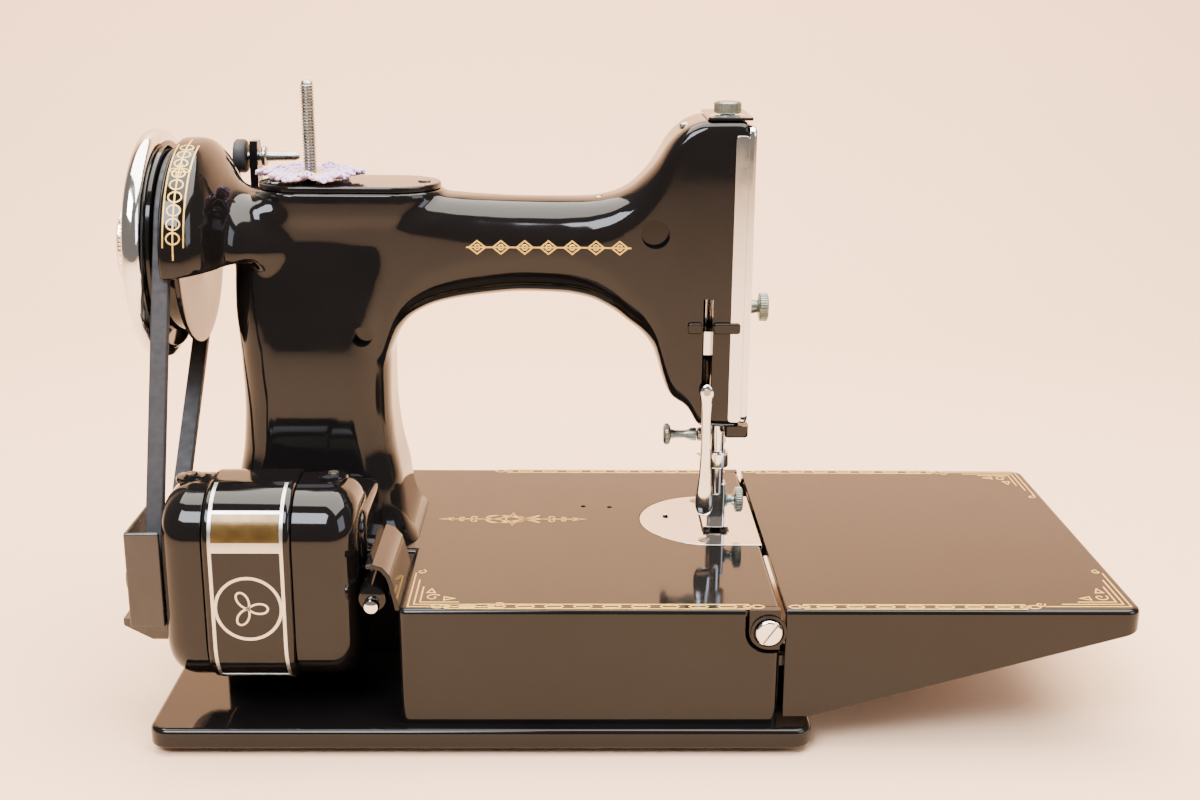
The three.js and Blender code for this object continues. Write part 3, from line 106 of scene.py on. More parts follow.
NEEDLE_X = 228.0
NEEDLE_Y = 106.0
PRESSER_Y = 94.0
EAR_X, EAR_Z = 241.3, 50.6
EAR_RADIUS = 7.6
HINGE_X, HINGE_Z = BED_X[1] + 14, BED_TOP - 6.2
SPOOL_X = 55.0

# ---------------------------------------------------------------- meshes


def place(axis, u, v, t):
    """A point drawn at (u, v) across an axis and at t along it."""
    return {"x": (t, u, v), "y": (u, t, v), "z": (u, v, t)}[axis]


def solid(name, vertices, faces):
    """A closed mesh object from machine millimetres, with its faces turned outwards."""
    mesh = bpy.data.meshes.new(name)
    mesh.from_pydata([point(*v) for v in vertices], [], faces)
    tidy = bmesh.new()
    tidy.from_mesh(mesh)
    bmesh.ops.remove_doubles(tidy, verts=tidy.verts, dist=1e-6)
    bmesh.ops.recalc_face_normals(tidy, faces=tidy.faces)
    tidy.to_mesh(mesh)
    tidy.free()
    made = bpy.data.objects.new(name, mesh)
    bpy.context.scene.collection.objects.link(made)
    return made


def loft(name, rings, closed=False):
    """A skin over rings of equal length, capped at both ends unless it closes on itself."""
    count = len(rings[0])
    vertices = [p for ring in rings for p in ring]
    faces = []
    for s in range(len(rings) if closed else len(rings) - 1):
        a, b = s * count, ((s + 1) % len(rings)) * count
        for i in range(count):
            j = (i + 1) % count
            faces.append((a + i, a + j, b + j, b + i))
    if not closed:
        faces.append(tuple(range(count)))
        faces.append(tuple(range(len(vertices) - count, len(vertices))))
    return solid(name, vertices, faces)


def rounded_ring(u, v, r, steps=8):
    """The points of a rounded rectangle."""
    r = max(min(r, (u[1] - u[0]) / 2 - 0.01, (v[1] - v[0]) / 2 - 0.01), 0.02)
    centres = [(u[1] - r, v[0] + r), (u[1] - r, v[1] - r), (u[0] + r, v[1] - r), (u[0] + r, v[0] + r)]
    ring = []
    for quarter, (cu, cv) in enumerate(centres):
        for i in range(steps + 1):
            angle = (quarter - 1 + i / steps) * math.pi / 2
            ring.append((cu + r * math.cos(angle), cv + r * math.sin(angle)))
    return ring


def slab(name, axis, u, v, corner, low, high, low_edge=0.0, high_edge=0.0, steps=5):
    """A rounded rectangle drawn out along an axis, with its two rims rounded."""
    levels = []
    if low_edge:
        turn = [k / steps * math.pi / 2 for k in range(steps + 1)]
        levels += [(low + low_edge * (1 - math.sin(a)), low_edge * (1 - math.cos(a))) for a in reversed(turn)]
    else:
        levels.append((low, 0.0))
    if high_edge:
        turn = [k / steps * math.pi / 2 for k in range(steps + 1)]
        levels += [(high - high_edge * (1 - math.sin(a)), high_edge * (1 - math.cos(a))) for a in turn]
    else:
        levels.append((high, 0.0))
    rings = []
    for t, inset in levels:
        ring = rounded_ring((u[0] + inset, u[1] - inset), (v[0] + inset, v[1] - inset), corner - inset)
        rings.append([place(axis, p, q, t) for p, q in ring])
    return loft(name, rings)


def extruded(name, axis, outline, low, high):
    """A plain outline drawn out along an axis."""
    return loft(name, [[place(axis, u, v, t) for u, v in outline] for t in (low, high)])


def box(name, x, y, z):
    return extruded(name, "z", [(x[0], y[0]), (x[1], y[0]), (x[1], y[1]), (x[0], y[1])], z[0], z[1])


def lathe(name, axis, centre, profile, steps=64, spread=1.0):
    """A profile of (radius, place along the axis) turned round, its first direction spread."""
    rings = []
    for i in range(steps):
        angle = 2 * math.pi * i / steps
        cu, cv = spread * math.cos(angle), math.sin(angle)
        rings.append([place(axis, centre[0] + r * cu, centre[1] + r * cv, t) for r, t in profile])
    return loft(name, rings, closed=True)


def rod(name, axis, centre, radius, low, high, edge=0.0, steps=48):
    profile = [(0, low), (radius - edge, low), (radius, low + edge), (radius, high - edge), (radius - edge, high),
               (0, high)]
    return lathe(name, axis, centre, profile, steps)


def bake(target):
    """Turns the result of an object's modifiers into its plain mesh."""
    bpy.context.view_layer.update()
    evaluated = target.evaluated_get(bpy.context.evaluated_depsgraph_get())
    mesh = bpy.data.meshes.new_from_object(evaluated)
    spare = target.data
    target.modifiers.clear()
    target.data = mesh
    bpy.data.meshes.remove(spare)
    mesh.name = target.name
    return target


def discard(*objects):
    for o in objects:
        bpy.data.objects.remove(o)


def combine(target, operation, *tools):
    for tool in tools:
        step = target.modifiers.new("step", "BOOLEAN")
        step.operation = operation
        step.object = tool
        step.solver = "EXACT"
    bake(target)
    discard(*tools)
    return target


def cut(target, *tools):
    return combine(target, "DIFFERENCE", *tools)


def join(target, *others):
    """Several meshes as one object, left as separate closed bodies."""
    merged = bmesh.new()
    for o in (target, *others):
        merged.from_mesh(o.data)
    merged.to_mesh(target.data)
    merged.free()
    discard(*others)
    return target


def soften(target, width, segments=3, angle=35):
    """Rounds an object's sharp edges."""
    step = target.modifiers.new("edges", "BEVEL")
    step.width = width / 1000
    step.segments = segments
    step.limit_method = "ANGLE"
    step.angle_limit = math.radians(angle)
    step.use_clamp_overlap = True
    step.harden_normals = True
    return bake(target)


def from_cad(node, name, width=0.4):
    """A copy of a CAD node with its facets merged and its edges rounded."""
    copy = bpy.data.objects.new(name, bpy.data.objects[node].data.copy())
    bpy.context.scene.collection.objects.link(copy)
    tidy = bmesh.new()
    tidy.from_mesh(copy.data)
    bmesh.ops.remove_doubles(tidy, verts=tidy.verts, dist=2e-6)
    bmesh.ops.dissolve_limit(tidy, angle_limit=math.radians(0.6), verts=tidy.verts, edges=tidy.edges)
    tidy.to_mesh(copy.data)
    tidy.free()
    return soften(copy, width, 2)


def dress(piece, kind, body, *nodes, slot=None, smooth=35):
    """Gives a piece its finish, the body that carries it, and the CAD nodes that it stands for.
    Its large faces keep their own normals, so that they mirror without a bend."""
    piece.data.materials.clear()
    piece.data.materials.append(finish(kind))
    piece.data.shade_smooth()
    piece.data.set_sharp_from_angle(angle=math.radians(smooth))
    step = piece.modifiers.new("flat faces", "WEIGHTED_NORMAL")
    step.keep_sharp = True
    step.weight = 100
    bake(piece)
    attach(piece, body)
    if nodes:
        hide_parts(*nodes)
    return piece


def smooth_row(rows, at):
    """A row of values between the rows of a table, by a cubic through its neighbours."""
    keys = [row[0] for row in rows]
    i = max(k for k in range(len(keys) - 1) if keys[k] <= at or k == 0)
    step = keys[i + 1] - keys[i]
    t = min(max((at - keys[i]) / step, 0), 1)
    values = [at]
    for column in range(1, len(rows[0])):
        def slope(k):
            """The slope at a row, flat where the values turn."""
            if k in (0, len(rows) - 1):
                return 0.0
            before = (rows[k][column] - rows[k - 1][column]) / (keys[k] - keys[k - 1])
            after = (rows[k + 1][column] - rows[k][column]) / (keys[k + 1] - keys[k])
            if before * after <= 0:
                return 0.0
            return 2 * before * after / (before + after)
        a, b = rows[i][column], rows[i + 1][column]
        ma, mb = slope(i) * step, slope(i + 1) * step
        values.append((2 * t**3 - 3 * t**2 + 1) * a + (t**3 - 2 * t**2 + t) * ma
                      + (3 * t**2 - 2 * t**3) * b + (t**3 - t**2) * mb)
    return values


def ribbon(name, lines, width, height=0.1):
    """Flat strips along lines of (place, surface normal), standing a little proud of the surface.
    Each line is (points, closed). Places and normals are in metres."""
    vertices, faces = [], []
    half, sunk, proud = width / 2000, 0.00004, height / 1000
    for points, closed in lines:
        start, count = len(vertices), len(points)
        for i, (here, normal) in enumerate(points):
            before = points[i - 1][0] if closed or i else here
            after = points[(i + 1) % count][0] if closed or i + 1 < count else here
            along_in, along_out = (here - before), (after - here)
            along = (along_in.normalized() + along_out.normalized()).normalized()
            side = along.cross(normal).normalized()
            edge = along_out if along_out.length > 0 else along_in
            square = edge.normalized().cross(normal).normalized()
            reach = half / max(side.dot(square), 0.45)
            for s, h in ((-1, -sunk), (1, -sunk), (1, proud), (-1, proud)):
                vertices.append(here + side * s * reach + normal * h)
        for i in range(count if closed else count - 1):
            a, b = start + 4 * i, start + 4 * ((i + 1) % count)
            faces += [(a + k, a + (k + 1) % 4, b + (k + 1) % 4, b + k) for k in range(4)]
        if not closed:
            last = start + 4 * (count - 1)
            faces += [(start, start + 1, start + 2, start + 3), (last + 3, last + 2, last + 1, last)]
    mesh = bpy.data.meshes.new(name)
    mesh.from_pydata(vertices, [], faces)
    tidy = bmesh.new()
    tidy.from_mesh(mesh)
    bmesh.ops.recalc_face_normals(tidy, faces=tidy.faces)
    tidy.to_mesh(mesh)
    tidy.free()
    made = bpy.data.objects.new(name, mesh)
    bpy.context.scene.collection.objects.link(made)
    return made


# ---------------------------------------------------------------- node trees


def add(tree, kind, inputs=None, **settings):
    """A node with its settings, and with each named or numbered input set or linked."""
    made = tree.nodes.new(kind)
    for key, value in settings.items():
        setattr(made, key, value)
    for socket, value in (inputs or {}).items():
        if isinstance(value, bpy.types.NodeSocket):
            tree.links.new(value, made.inputs[socket])
        else:
            made.inputs[socket].default_value = value
    return made


def hex_colour(text):
    """An sRGB hex value as linear red, green, blue and alpha."""
    channels = [int(text[i:i + 2], 16) / 255 for i in (1, 3, 5)]
    linear = [c / 12.92 if c <= 0.04045 else ((c + 0.055) / 1.055) ** 2.4 for c in channels]
    return (*linear, 1.0)


def colours():
    return bpy.context.scene.sewing_colours


def sizes():
    return bpy.context.scene.sewing_sizes


def surface(name, **values):
    """A new material with its Principled shader set, its tree and its Object coordinates."""
    made = bpy.data.materials.new(name)
    made.use_nodes = True
    tree = made.node_tree
    shader = tree.nodes["Principled BSDF"]
    for socket, value in values.items():
        shader.inputs[socket.replace("_", " ")].default_value = value
    place_of = add(tree, "ShaderNodeTexCoord").outputs["Object"]
    return made, tree, shader, place_of


def spots(tree, place_of, size, detail=3.0):
    """Cloudy noise from 0 to 1, its features about size millimetres across."""
    return add(tree, "ShaderNodeTexNoise", {"Vector": place_of, "Scale": 1000 / size, "Detail": detail}).outputs[0]


def ranged(tree, value, low, high):
    return add(tree, "ShaderNodeMapRange", {"Value": value, "From Min": 0.3, "From Max": 0.7,
                                            "To Min": low, "To Max": high}).outputs[0]


def tinted(tree, value, dark, light):
    return add(tree, "ShaderNodeMix", {0: value, 6: dark, 7: light}, data_type="RGBA").outputs[2]


def relief(tree, shader, height, depth, strength=1.0):
    bump = add(tree, "ShaderNodeBump", {"Height": height, "Distance": depth / 1000, "Strength": strength})
    tree.links.new(bump.outputs[0], shader.inputs["Normal"])


def stove_enamel():
    """Black stoving enamel on iron: sprayed, baked and polished, so it mirrors the room, with the
    faint dimpling of a sprayed coat and a haze of handling."""
    made, tree, shader, at = surface("Black stoving enamel", IOR=1.37)
    shader.inputs["Specular IOR Level"].default_value = 0.5
    haze = spots(tree, at, 42)
    light = (*[c * 2.2 + 0.002 for c in colours().enamel[:3]], 1)
    tree.links.new(tinted(tree, haze, colours().enamel, light), shader.inputs["Base Color"])
    tree.links.new(ranged(tree, spots(tree, at, 18), 0.045, 0.1), shader.inputs["Roughness"])
    relief(tree, shader, spots(tree, at, 3.2, 1.0), 0.006, 0.35)
    return made


def moulded_black():
    """Black phenolic moulding: a satin skin with a fine grain from the tool."""
    made, tree, shader, at = surface("Black phenolic moulding", IOR=1.6)
    tree.links.new(tinted(tree, spots(tree, at, 12), hex_colour("#0b0b0c"), hex_colour("#161617")),
                   shader.inputs["Base Color"])
    tree.links.new(ranged(tree, spots(tree, at, 5), 0.26, 0.4), shader.inputs["Roughness"])
    relief(tree, shader, spots(tree, at, 0.8), 0.02, 0.4)
    return made


def chrome_plate():
    """Polished chromium plate: nearly a mirror, slightly cloudy where hands rub it."""
    made, tree, shader, at = surface("Polished chrome plate", Metallic=1.0)
    tree.links.new(tinted(tree, spots(tree, at, 25), colours().chrome, hex_colour("#f0efec")),
                   shader.inputs["Base Color"])
    tree.links.new(ranged(tree, spots(tree, at, 9), 0.05, 0.14), shader.inputs["Roughness"])
    relief(tree, shader, spots(tree, at, 4), 0.004, 0.3)
    return made


def turned_steel():
    """Nickel-plated turned steel: fine tool rings and dull patches."""
    made, tree, shader, at = surface("Turned nickelled steel", Metallic=1.0)
    tree.links.new(tinted(tree, spots(tree, at, 6), colours().steel, hex_colour("#b9b7b0")),
                   shader.inputs["Base Color"])
    tree.links.new(ranged(tree, spots(tree, at, 3), 0.2, 0.38), shader.inputs["Roughness"])
    # Tool rings are 0.1 mm apart on the real parts, and are drawn 0.4 mm apart so that they show.
    rings = add(tree, "ShaderNodeTexNoise", {
        "Vector": add(tree, "ShaderNodeMapping", {0: at, "Scale": (0.15, 0.15, 1)}).outputs[0], "Scale": 2500})
    relief(tree, shader, rings.outputs[0], 0.01, 0.3)
    return made


def knurled_nickel():
    """Old nickel on knurled screw heads: green-grey with grime between the ridges."""
    made, tree, shader, at = surface("Aged nickel", Metallic=1.0)
    tree.links.new(tinted(tree, spots(tree, at, 3), hex_colour("#5d6763"), hex_colour("#a3ada6")),
                   shader.inputs["Base Color"])
    tree.links.new(ranged(tree, spots(tree, at, 2), 0.26, 0.46), shader.inputs["Roughness"])
    relief(tree, shader, spots(tree, at, 0.6), 0.02, 0.4)
    return made


def gold_transfer():
    """Bronze-powder transfer under varnish: a soft metallic yellow, thin in places."""
    made, tree, shader, at = surface("Gold transfer", Metallic=0.35)
    tree.links.new(tinted(tree, spots(tree, at, 1.6), hex_colour("#b98a35"), colours().gold),
                   shader.inputs["Base Color"])
    tree.links.new(ranged(tree, spots(tree, at, 5), 0.3, 0.44), shader.inputs["Roughness"])
    relief(tree, shader, spots(tree, at, 0.5), 0.01, 0.3)
    return made


def etched_silver():
    """Etched aluminium label: pale, evenly satin metal."""
    made, tree, shader, at = surface("Etched aluminium label", Metallic=1.0)
    tree.links.new(tinted(tree, spots(tree, at, 4), hex_colour("#b4b3a8"), hex_colour("#e0dfd6")),
                   shader.inputs["Base Color"])
    tree.links.new(ranged(tree, spots(tree, at, 2), 0.28, 0.4), shader.inputs["Roughness"])
    relief(tree, shader, spots(tree, at, 0.7), 0.006, 0.3)
    return made


def lacquered_brown():
    """Bronze lacquer panel on the motor label: brown with a golden sheen."""
    made, tree, shader, at = surface("Bronze lacquer", Metallic=0.55)
    tree.links.new(tinted(tree, spots(tree, at, 9), hex_colour("#2a1d0e"), hex_colour("#7a6234")),
                   shader.inputs["Base Color"])
    tree.links.new(ranged(tree, spots(tree, at, 4), 0.14, 0.26), shader.inputs["Roughness"])
    return made


def black_rubber():
    """Moulded black rubber: dull, slightly grey where it has dried."""
    made, tree, shader, at = surface("Moulded black rubber", IOR=1.52)
    tree.links.new(tinted(tree, spots(tree, at, 7), colours().rubber, hex_colour("#26272b")),
                   shader.inputs["Base Color"])
    tree.links.new(ranged(tree, spots(tree, at, 3), 0.55, 0.78), shader.inputs["Roughness"])
    relief(tree, shader, spots(tree, at, 0.5), 0.03, 0.5)
    return made


def mercerised_cotton(name, dark, light):
    """Mercerised crochet cotton: two plies twisted together, with a soft sheen."""
    made, tree, shader, at = surface(name, IOR=1.5, Roughness=0.8)
    shader.inputs["Sheen Weight"].default_value = 0.35
    shader.inputs["Sheen Roughness"].default_value = 0.4
    tree.links.new(tinted(tree, spots(tree, at, 2.2), dark, light), shader.inputs["Base Color"])
    # The plies twist about once each millimetre.
    twist = add(tree, "ShaderNodeTexWave", {"Vector": at, "Scale": 320, "Distortion": 1.5},
                bands_direction="DIAGONAL")
    relief(tree, shader, twist.outputs["Fac"], 0.09, 0.7)
    return made


def wool_felt():
    """Green-grey felt pad: matted wool with loose fibres."""
    made, tree, shader, at = surface("Wool felt", Roughness=0.95)
    tree.links.new(tinted(tree, spots(tree, at, 1.2, 6), hex_colour("#2f3a2e"), hex_colour("#5b6a52")),
                   shader.inputs["Base Color"])
    relief(tree, shader, spots(tree, at, 0.7, 6), 0.2, 0.8)
    return made


def frosted_glass():
    """Acid-frosted lamp glass."""
    made, tree, shader, at = surface("Frosted lamp glass", IOR=1.5, Transmission_Weight=0.6)
    tree.links.new(tinted(tree, spots(tree, at, 8), hex_colour("#e6e1d3"), hex_colour("#f6f3ea")),
                   shader.inputs["Base Color"])
    tree.links.new(ranged(tree, spots(tree, at, 2), 0.3, 0.45), shader.inputs["Roughness"])
    return made


def plain_backdrop():
    """Plain pale paper, warm cream."""
    made, tree, shader, at = surface("Cream paper", Roughness=0.85)
    shade = (*[c * 0.97 for c in colours().backdrop[:3]], 1)
    tree.links.new(tinted(tree, spots(tree, at, 160), shade, colours().backdrop), shader.inputs["Base Color"])
    return made


MADE = {}


def finish(name):
    """A named finish, made when it is first asked for."""
    makers = {
        "enamel": stove_enamel, "moulding": moulded_black, "chrome": chrome_plate, "steel": turned_steel,
        "nickel": knurled_nickel, "gold": gold_transfer, "silver": etched_silver, "lacquer": lacquered_brown,
        "rubber": black_rubber, "felt": wool_felt, "glass": frosted_glass, "backdrop": plain_backdrop,
        "lilac": lambda: mercerised_cotton("Lilac crochet cotton", colours().cotton, hex_colour("#e6cdea")),
        "yellow": lambda: mercerised_cotton("Yellow crochet cotton", hex_colour("#d8b02c"), hex_colour("#f2d765")),
    }
    if name not in MADE:
        MADE[name] = makers[name]()
    return MADE[name]


def new_geometry_tree(name, sockets):
    """An empty Geometry Nodes tree with the named inputs, its input node, and each identifier."""
    tree = bpy.data.node_groups.new(name, "GeometryNodeTree")
    tree.interface.new_socket("Geometry", in_out="OUTPUT", socket_type="NodeSocketGeometry")
    tree.interface.new_socket("Geometry", in_out="INPUT", socket_type="NodeSocketGeometry")
    keys = {}
    for label, kind in sockets.items():
        made = tree.interface.new_socket(label, in_out="INPUT", socket_type="NodeSocket" + kind)
        keys[label] = made.identifier
    return tree, add(tree, "NodeGroupInput").outputs, keys


def end_tree(tree, geometry, material):
    """Ends a tree in Realize Instances and Set Material."""
    plain = add(tree, "GeometryNodeRealizeInstances", {"Geometry": geometry})
    painted = add(tree, "GeometryNodeSetMaterial", {"Geometry": plain.outputs[0], "Material": material})
    add(tree, "NodeGroupOutput", {0: painted.outputs[0]})


def knurl_tree():
    """Ridges round a knurled head, added to the turned screw."""
    tree, given, keys = new_geometry_tree("Knurled rim", {
        "Centre": "Vector", "Facing": "Rotation", "Radius": "Float", "Length": "Float", "Ridges": "Int",
        "Ridge size": "Float", "Material": "Material"})
    ring = add(tree, "GeometryNodeMeshCircle", {"Vertices": given["Ridges"], "Radius": given["Radius"]})
    ridge = add(tree, "GeometryNodeMeshCylinder", {
        "Vertices": 6, "Radius": given["Ridge size"], "Depth": given["Length"]})
    ridges = add(tree, "GeometryNodeInstanceOnPoints", {"Points": ring.outputs[0], "Instance": ridge.outputs[0]})
    turned = add(tree, "GeometryNodeTransform", {
        "Geometry": ridges.outputs[0], "Translation": given["Centre"], "Rotation": given["Facing"]})
    both = add(tree, "GeometryNodeJoinGeometry", {0: turned.outputs[0]})
    tree.links.new(given["Geometry"], both.inputs[0])
    end_tree(tree, both.outputs[0], given["Material"])
    return tree, keys


def screw_tree():
    """Slotted screw heads on points."""
    tree, given, keys = new_geometry_tree("Slotted screws", {
        "Facing": "Rotation", "Radius": "Float", "Height": "Float", "Slot": "Float", "Material": "Material"})
    head = add(tree, "GeometryNodeMeshCylinder", {
        "Vertices": 28, "Radius": given["Radius"], "Depth": given["Height"]})
    length = add(tree, "ShaderNodeMath", {0: given["Radius"], 1: 2.4}, operation="MULTIPLY")
    size = add(tree, "ShaderNodeCombineXYZ", {0: length.outputs[0], 1: given["Slot"], 2: given["Height"]})
    blade = add(tree, "GeometryNodeMeshCube", {"Size": size.outputs[0]})
    lift = add(tree, "ShaderNodeCombineXYZ", {2: add(tree, "ShaderNodeMath", {
        0: given["Height"], 1: 0.55}, operation="MULTIPLY").outputs[0]})
    raised = add(tree, "GeometryNodeTransform", {
        "Geometry": blade.outputs[0], "Translation": lift.outputs[0], "Rotation": (0, 0, 0.7)})
    slotted = add(tree, "GeometryNodeMeshBoolean", {0: head.outputs[0], 1: raised.outputs[0]})
    placed = add(tree, "GeometryNodeInstanceOnPoints", {
        "Points": given["Geometry"], "Instance": slotted.outputs[0], "Rotation": given["Facing"]})
    end_tree(tree, placed.outputs[0], given["Material"])
    return tree, keys


def stitch_tree():
    """One loop of yarn on every point, turned by the point's own angle."""
    tree, given, keys = new_geometry_tree("Crochet stitches", {
        "Loop length": "Float", "Loop width": "Float", "Yarn": "Float", "Material": "Material"})
    circle = add(tree, "GeometryNodeCurvePrimitiveCircle", {"Resolution": 12, "Radius": 0.5})
    stretch = add(tree, "ShaderNodeCombineXYZ", {0: given["Loop length"], 1: given["Loop width"], 2: 1.0})
    oval = add(tree, "GeometryNodeTransform", {"Geometry": circle.outputs[0], "Scale": stretch.outputs[0]})
    yarn = add(tree, "GeometryNodeCurvePrimitiveCircle", {"Resolution": 6, "Radius": given["Yarn"]})
    loop = add(tree, "GeometryNodeCurveToMesh", {"Curve": oval.outputs[0], "Profile Curve": yarn.outputs[0]})
    turn = add(tree, "GeometryNodeInputNamedAttribute", {"Name": "turn"}, data_type="FLOAT_VECTOR")
    loops = add(tree, "GeometryNodeInstanceOnPoints", {
        "Points": given["Geometry"], "Instance": loop.outputs[0], "Rotation": turn.outputs[0]})
    end_tree(tree, loops.outputs[0], given["Material"])
    return tree, keys


TREES = {}


def grow(target, maker, **values):
    """Runs one of the node trees on an object and keeps the plain mesh that it makes."""
    if maker not in TREES:
        TREES[maker] = maker()
    tree, keys = TREES[maker]
    step = target.modifiers.new("nodes", "NODES")
    step.node_group = tree
    for label, value in values.items():
        step[keys[label.replace("_", " ")]] = value
    return bake(target)


FACING = {"+x": (0, math.pi / 2, 0), "-x": (0, -math.pi / 2, 0), "+y": (-math.pi / 2, 0, 0),
          "-y": (math.pi / 2, 0, 0), "+z": (0, 0, 0)}


def knurl(piece, facing, centre, radius, length, ridges, material="nickel"):
    return grow(piece, knurl_tree, Centre=point(*centre), Facing=FACING[facing], Radius=radius / 1000,
                Length=length / 1000, Ridges=ridges, Ridge_size=radius * 2.1 / ridges / 1000,
                Material=finish(material))


def screws(name, facing, places, radius, height, body):
    """A set of like slotted screws as one piece."""
    mesh = bpy.data.meshes.new(name)
    mesh.from_pydata([point(*p) for p in places], [], [])
    made = bpy.data.objects.new(name, mesh)
    bpy.context.scene.collection.objects.link(made)
    grow(made, screw_tree, Facing=FACING[facing], Radius=radius / 1000, Height=height / 1000,
         Slot=radius * 0.32 / 1000, Material=finish("steel"))
    return dress(made, "steel", body)


# ---------------------------------------------------------------- bed, base and leaf


def ear_cutter(name, side, grow_by):
    """The notch in a side wall round a hinge ear."""
    r = EAR_RADIUS + grow_by
    outline = [(EAR_X - r, BED_TOP + 3), (EAR_X - r, EAR_Z)]
    outline += [(EAR_X + r * math.cos(a), EAR_Z + r * math.sin(a))
                for a in [math.pi + k * math.pi / 2 / 10 for k in range(1, 11)]]
    outline += [(BED_X[1] + 3, EAR_Z - r), (BED_X[1] + 3, BED_TOP + 3)]
    low, high = (BED_Y[0] - 1, BED_Y[0] + 4.1) if side == "rear" else (BED_Y[1] - 4.1, BED_Y[1] + 1)
    return extruded(name, "y", outline, low, high)


def throat_outline(grow_by):
    radius, centre = 31 + grow_by, 226.2
    arc = [(centre + radius * math.cos(a), ARM_Y + radius * math.sin(a))
           for a in [math.pi / 2 + k * math.pi / 40 for k in range(41)]]
    return [(BED_X[1] + 0.3 + grow_by, ARM_Y - radius), (BED_X[1] + 0.3 + grow_by, ARM_Y + radius), *arc]


def build_bed():
    edge = sizes().bed_edge * 1000
    base = slab("base_plate", "z", BASE_X, BASE_Y, 8, BASE_Z[0], BASE_Z[1], 1.4, 2.2)
    bed = slab("bed_shell", "z", BED_X, BED_Y, 3.2, 5, BED_TOP, 0, edge)
    step = slab("pillar_bed", "z", (14, 120), (68, BED_Y[1]), 9, 5, BED_TOP, 0, edge)
    combine(bed, "UNION", step)
    combine(bed, "UNION", base)
    hollow = slab("hollow", "z", (18, BED_X[1] - 4), (72, BED_Y[1] - 4), 2, 2, BED_TOP - 4)
    right = slab("hollow_right", "z", (BED_X[0] + 4, BED_X[1] - 4), (BED_Y[0] + 4, BED_Y[1] - 4), 2, 1, BED_TOP - 4.3)
    pocket = slab("pocket", "z", (8, 252), (8, 173), 6, 0, 7.2)
    seat = extruded("seat", "z", throat_outline(0.35), BED_TOP - 2.1, BED_TOP + 2)
    feed = box("feed", (208.2, 238.2), (85, 125), (50, BED_TOP + 0.5))
    door = box("door", (BED_X[1] - 6, BED_X[1] + 2), (85, 127), (14, 53))
    ears = [ear_cutter("ear_gap_" + side, side, 1.5) for side in ("rear", "front")]
    necks = [box("neck_slot", (EAR_X - 8, BED_X[1] + 1), y, (HINGE_Z - 19.8, HINGE_Z + 3.3))
             for y in ((BED_Y[0] + 3.4, BED_Y[0] + 7.2), (BED_Y[1] - 7.2, BED_Y[1] - 3.4))]
    holes = [rod("hole", "z", place_at, 1.2, 50, BED_TOP + 2, steps=20) for place_at in ((170, 122), (182, 121))]
    # One cut at a time, because the cutters overlap each other.
    for tool in (hollow, right, pocket, seat, feed, door, *ears, *necks, *holes):
        cut(bed, tool)
    soften(bed, 0.35, 2, 50)
    bed.name = "bed_and_base"
    dress(bed, "enamel", "root", "bed_casting")


def build_leaf():
    edge = sizes().bed_edge * 1000
    bottom = BED_TOP - 46.5
    left, right = LEAF_X
    leaf = slab("bed_leaf_shell", "z", (left - 20, right), BED_Y, 6, bottom, BED_TOP, 0, edge)
    side = [(left, BED_TOP - 45.5), (left + 10, BED_TOP - 45.5), (right + 1, BED_TOP - 9), (right + 1, BED_TOP + 1),
            (left, BED_TOP + 1)]
    combine(leaf, "INTERSECT", extruded("wedge", "y", side, BED_Y[0] - 1, BED_Y[1] + 1))
    hollow = slab("leaf_hollow", "z", (left - 30, right - 3.5), (BED_Y[0] + 3.5, BED_Y[1] - 3.5), 2.5, bottom - 1,
                  BED_TOP - 3.5)
    cut(leaf, hollow)
    ribs = []
    for y in ((BED_Y[0] + 7.1, BED_Y[0] + 12.8), (BED_Y[1] - 12.8, BED_Y[1] - 7.1)):
        lug = rod("lug", "y", (HINGE_X, HINGE_Z), 4.2, *y)
        web = box("web", (HINGE_X - 4.2, HINGE_X + 4.2), y, (HINGE_Z, BED_TOP - 3))
        combine(lug, "UNION", web)
        ribs.append(cut(lug, rod("stud_hole", "y", (HINGE_X, HINGE_Z), 1.8, y[0] - 1, y[1] + 1)))
    soften(leaf, 0.5, 2, 50)
    for rib in ribs:
        combine(leaf, "UNION", rib)
    dress(leaf, "enamel", "leaf", "bed_leaf")


def build_hinges():
    for side in ("rear", "front"):
        outward = -1 if side == "rear" else 1
        wall = BED_Y[0] if side == "rear" else BED_Y[1]
        ear = from_cad("leaf_bracket_" + side, "hinge_ear_" + side, 0.5)
        dress(ear, "enamel", "root", "leaf_bracket_" + side)
        profile = [(0, 2.4), (4.3, 2.4), (4.9, 2.1), (5.3, 1.5), (5.35, 0.3), (2.5, 0.3), (2.5, -11.3), (0, -11.3)]
        head = lathe("hinge_screw_" + side, "y", (EAR_X, EAR_Z), [(r, wall + outward * t) for r, t in profile], 64)
        slot = box("slot", (-6.5, 6.5), (wall + outward * 1.4, wall + outward * 4), (-0.85, 0.85))
        angle = math.radians(-55)
        centre = point(0, 0, 0)
        slot.data.transform(Matrix.Translation(point(EAR_X, 0, EAR_Z)) @ Matrix.Rotation(angle, 4, "Y")
                            @ Matrix.Translation(-centre))
        cut(head, slot)
        dress(head, "chrome", "root", "leaf_screw_" + side)
        ring = lathe("hinge_washer_" + side, "y", (EAR_X, EAR_Z),
                     [(5.5, wall + outward * 0.05), (7.1, wall + outward * 0.05), (7.0, wall + outward * 0.8),
                      (5.9, wall + outward * 1.0), (5.5, wall + outward * 0.4)], 48)
        dress(ring, "enamel", "root")


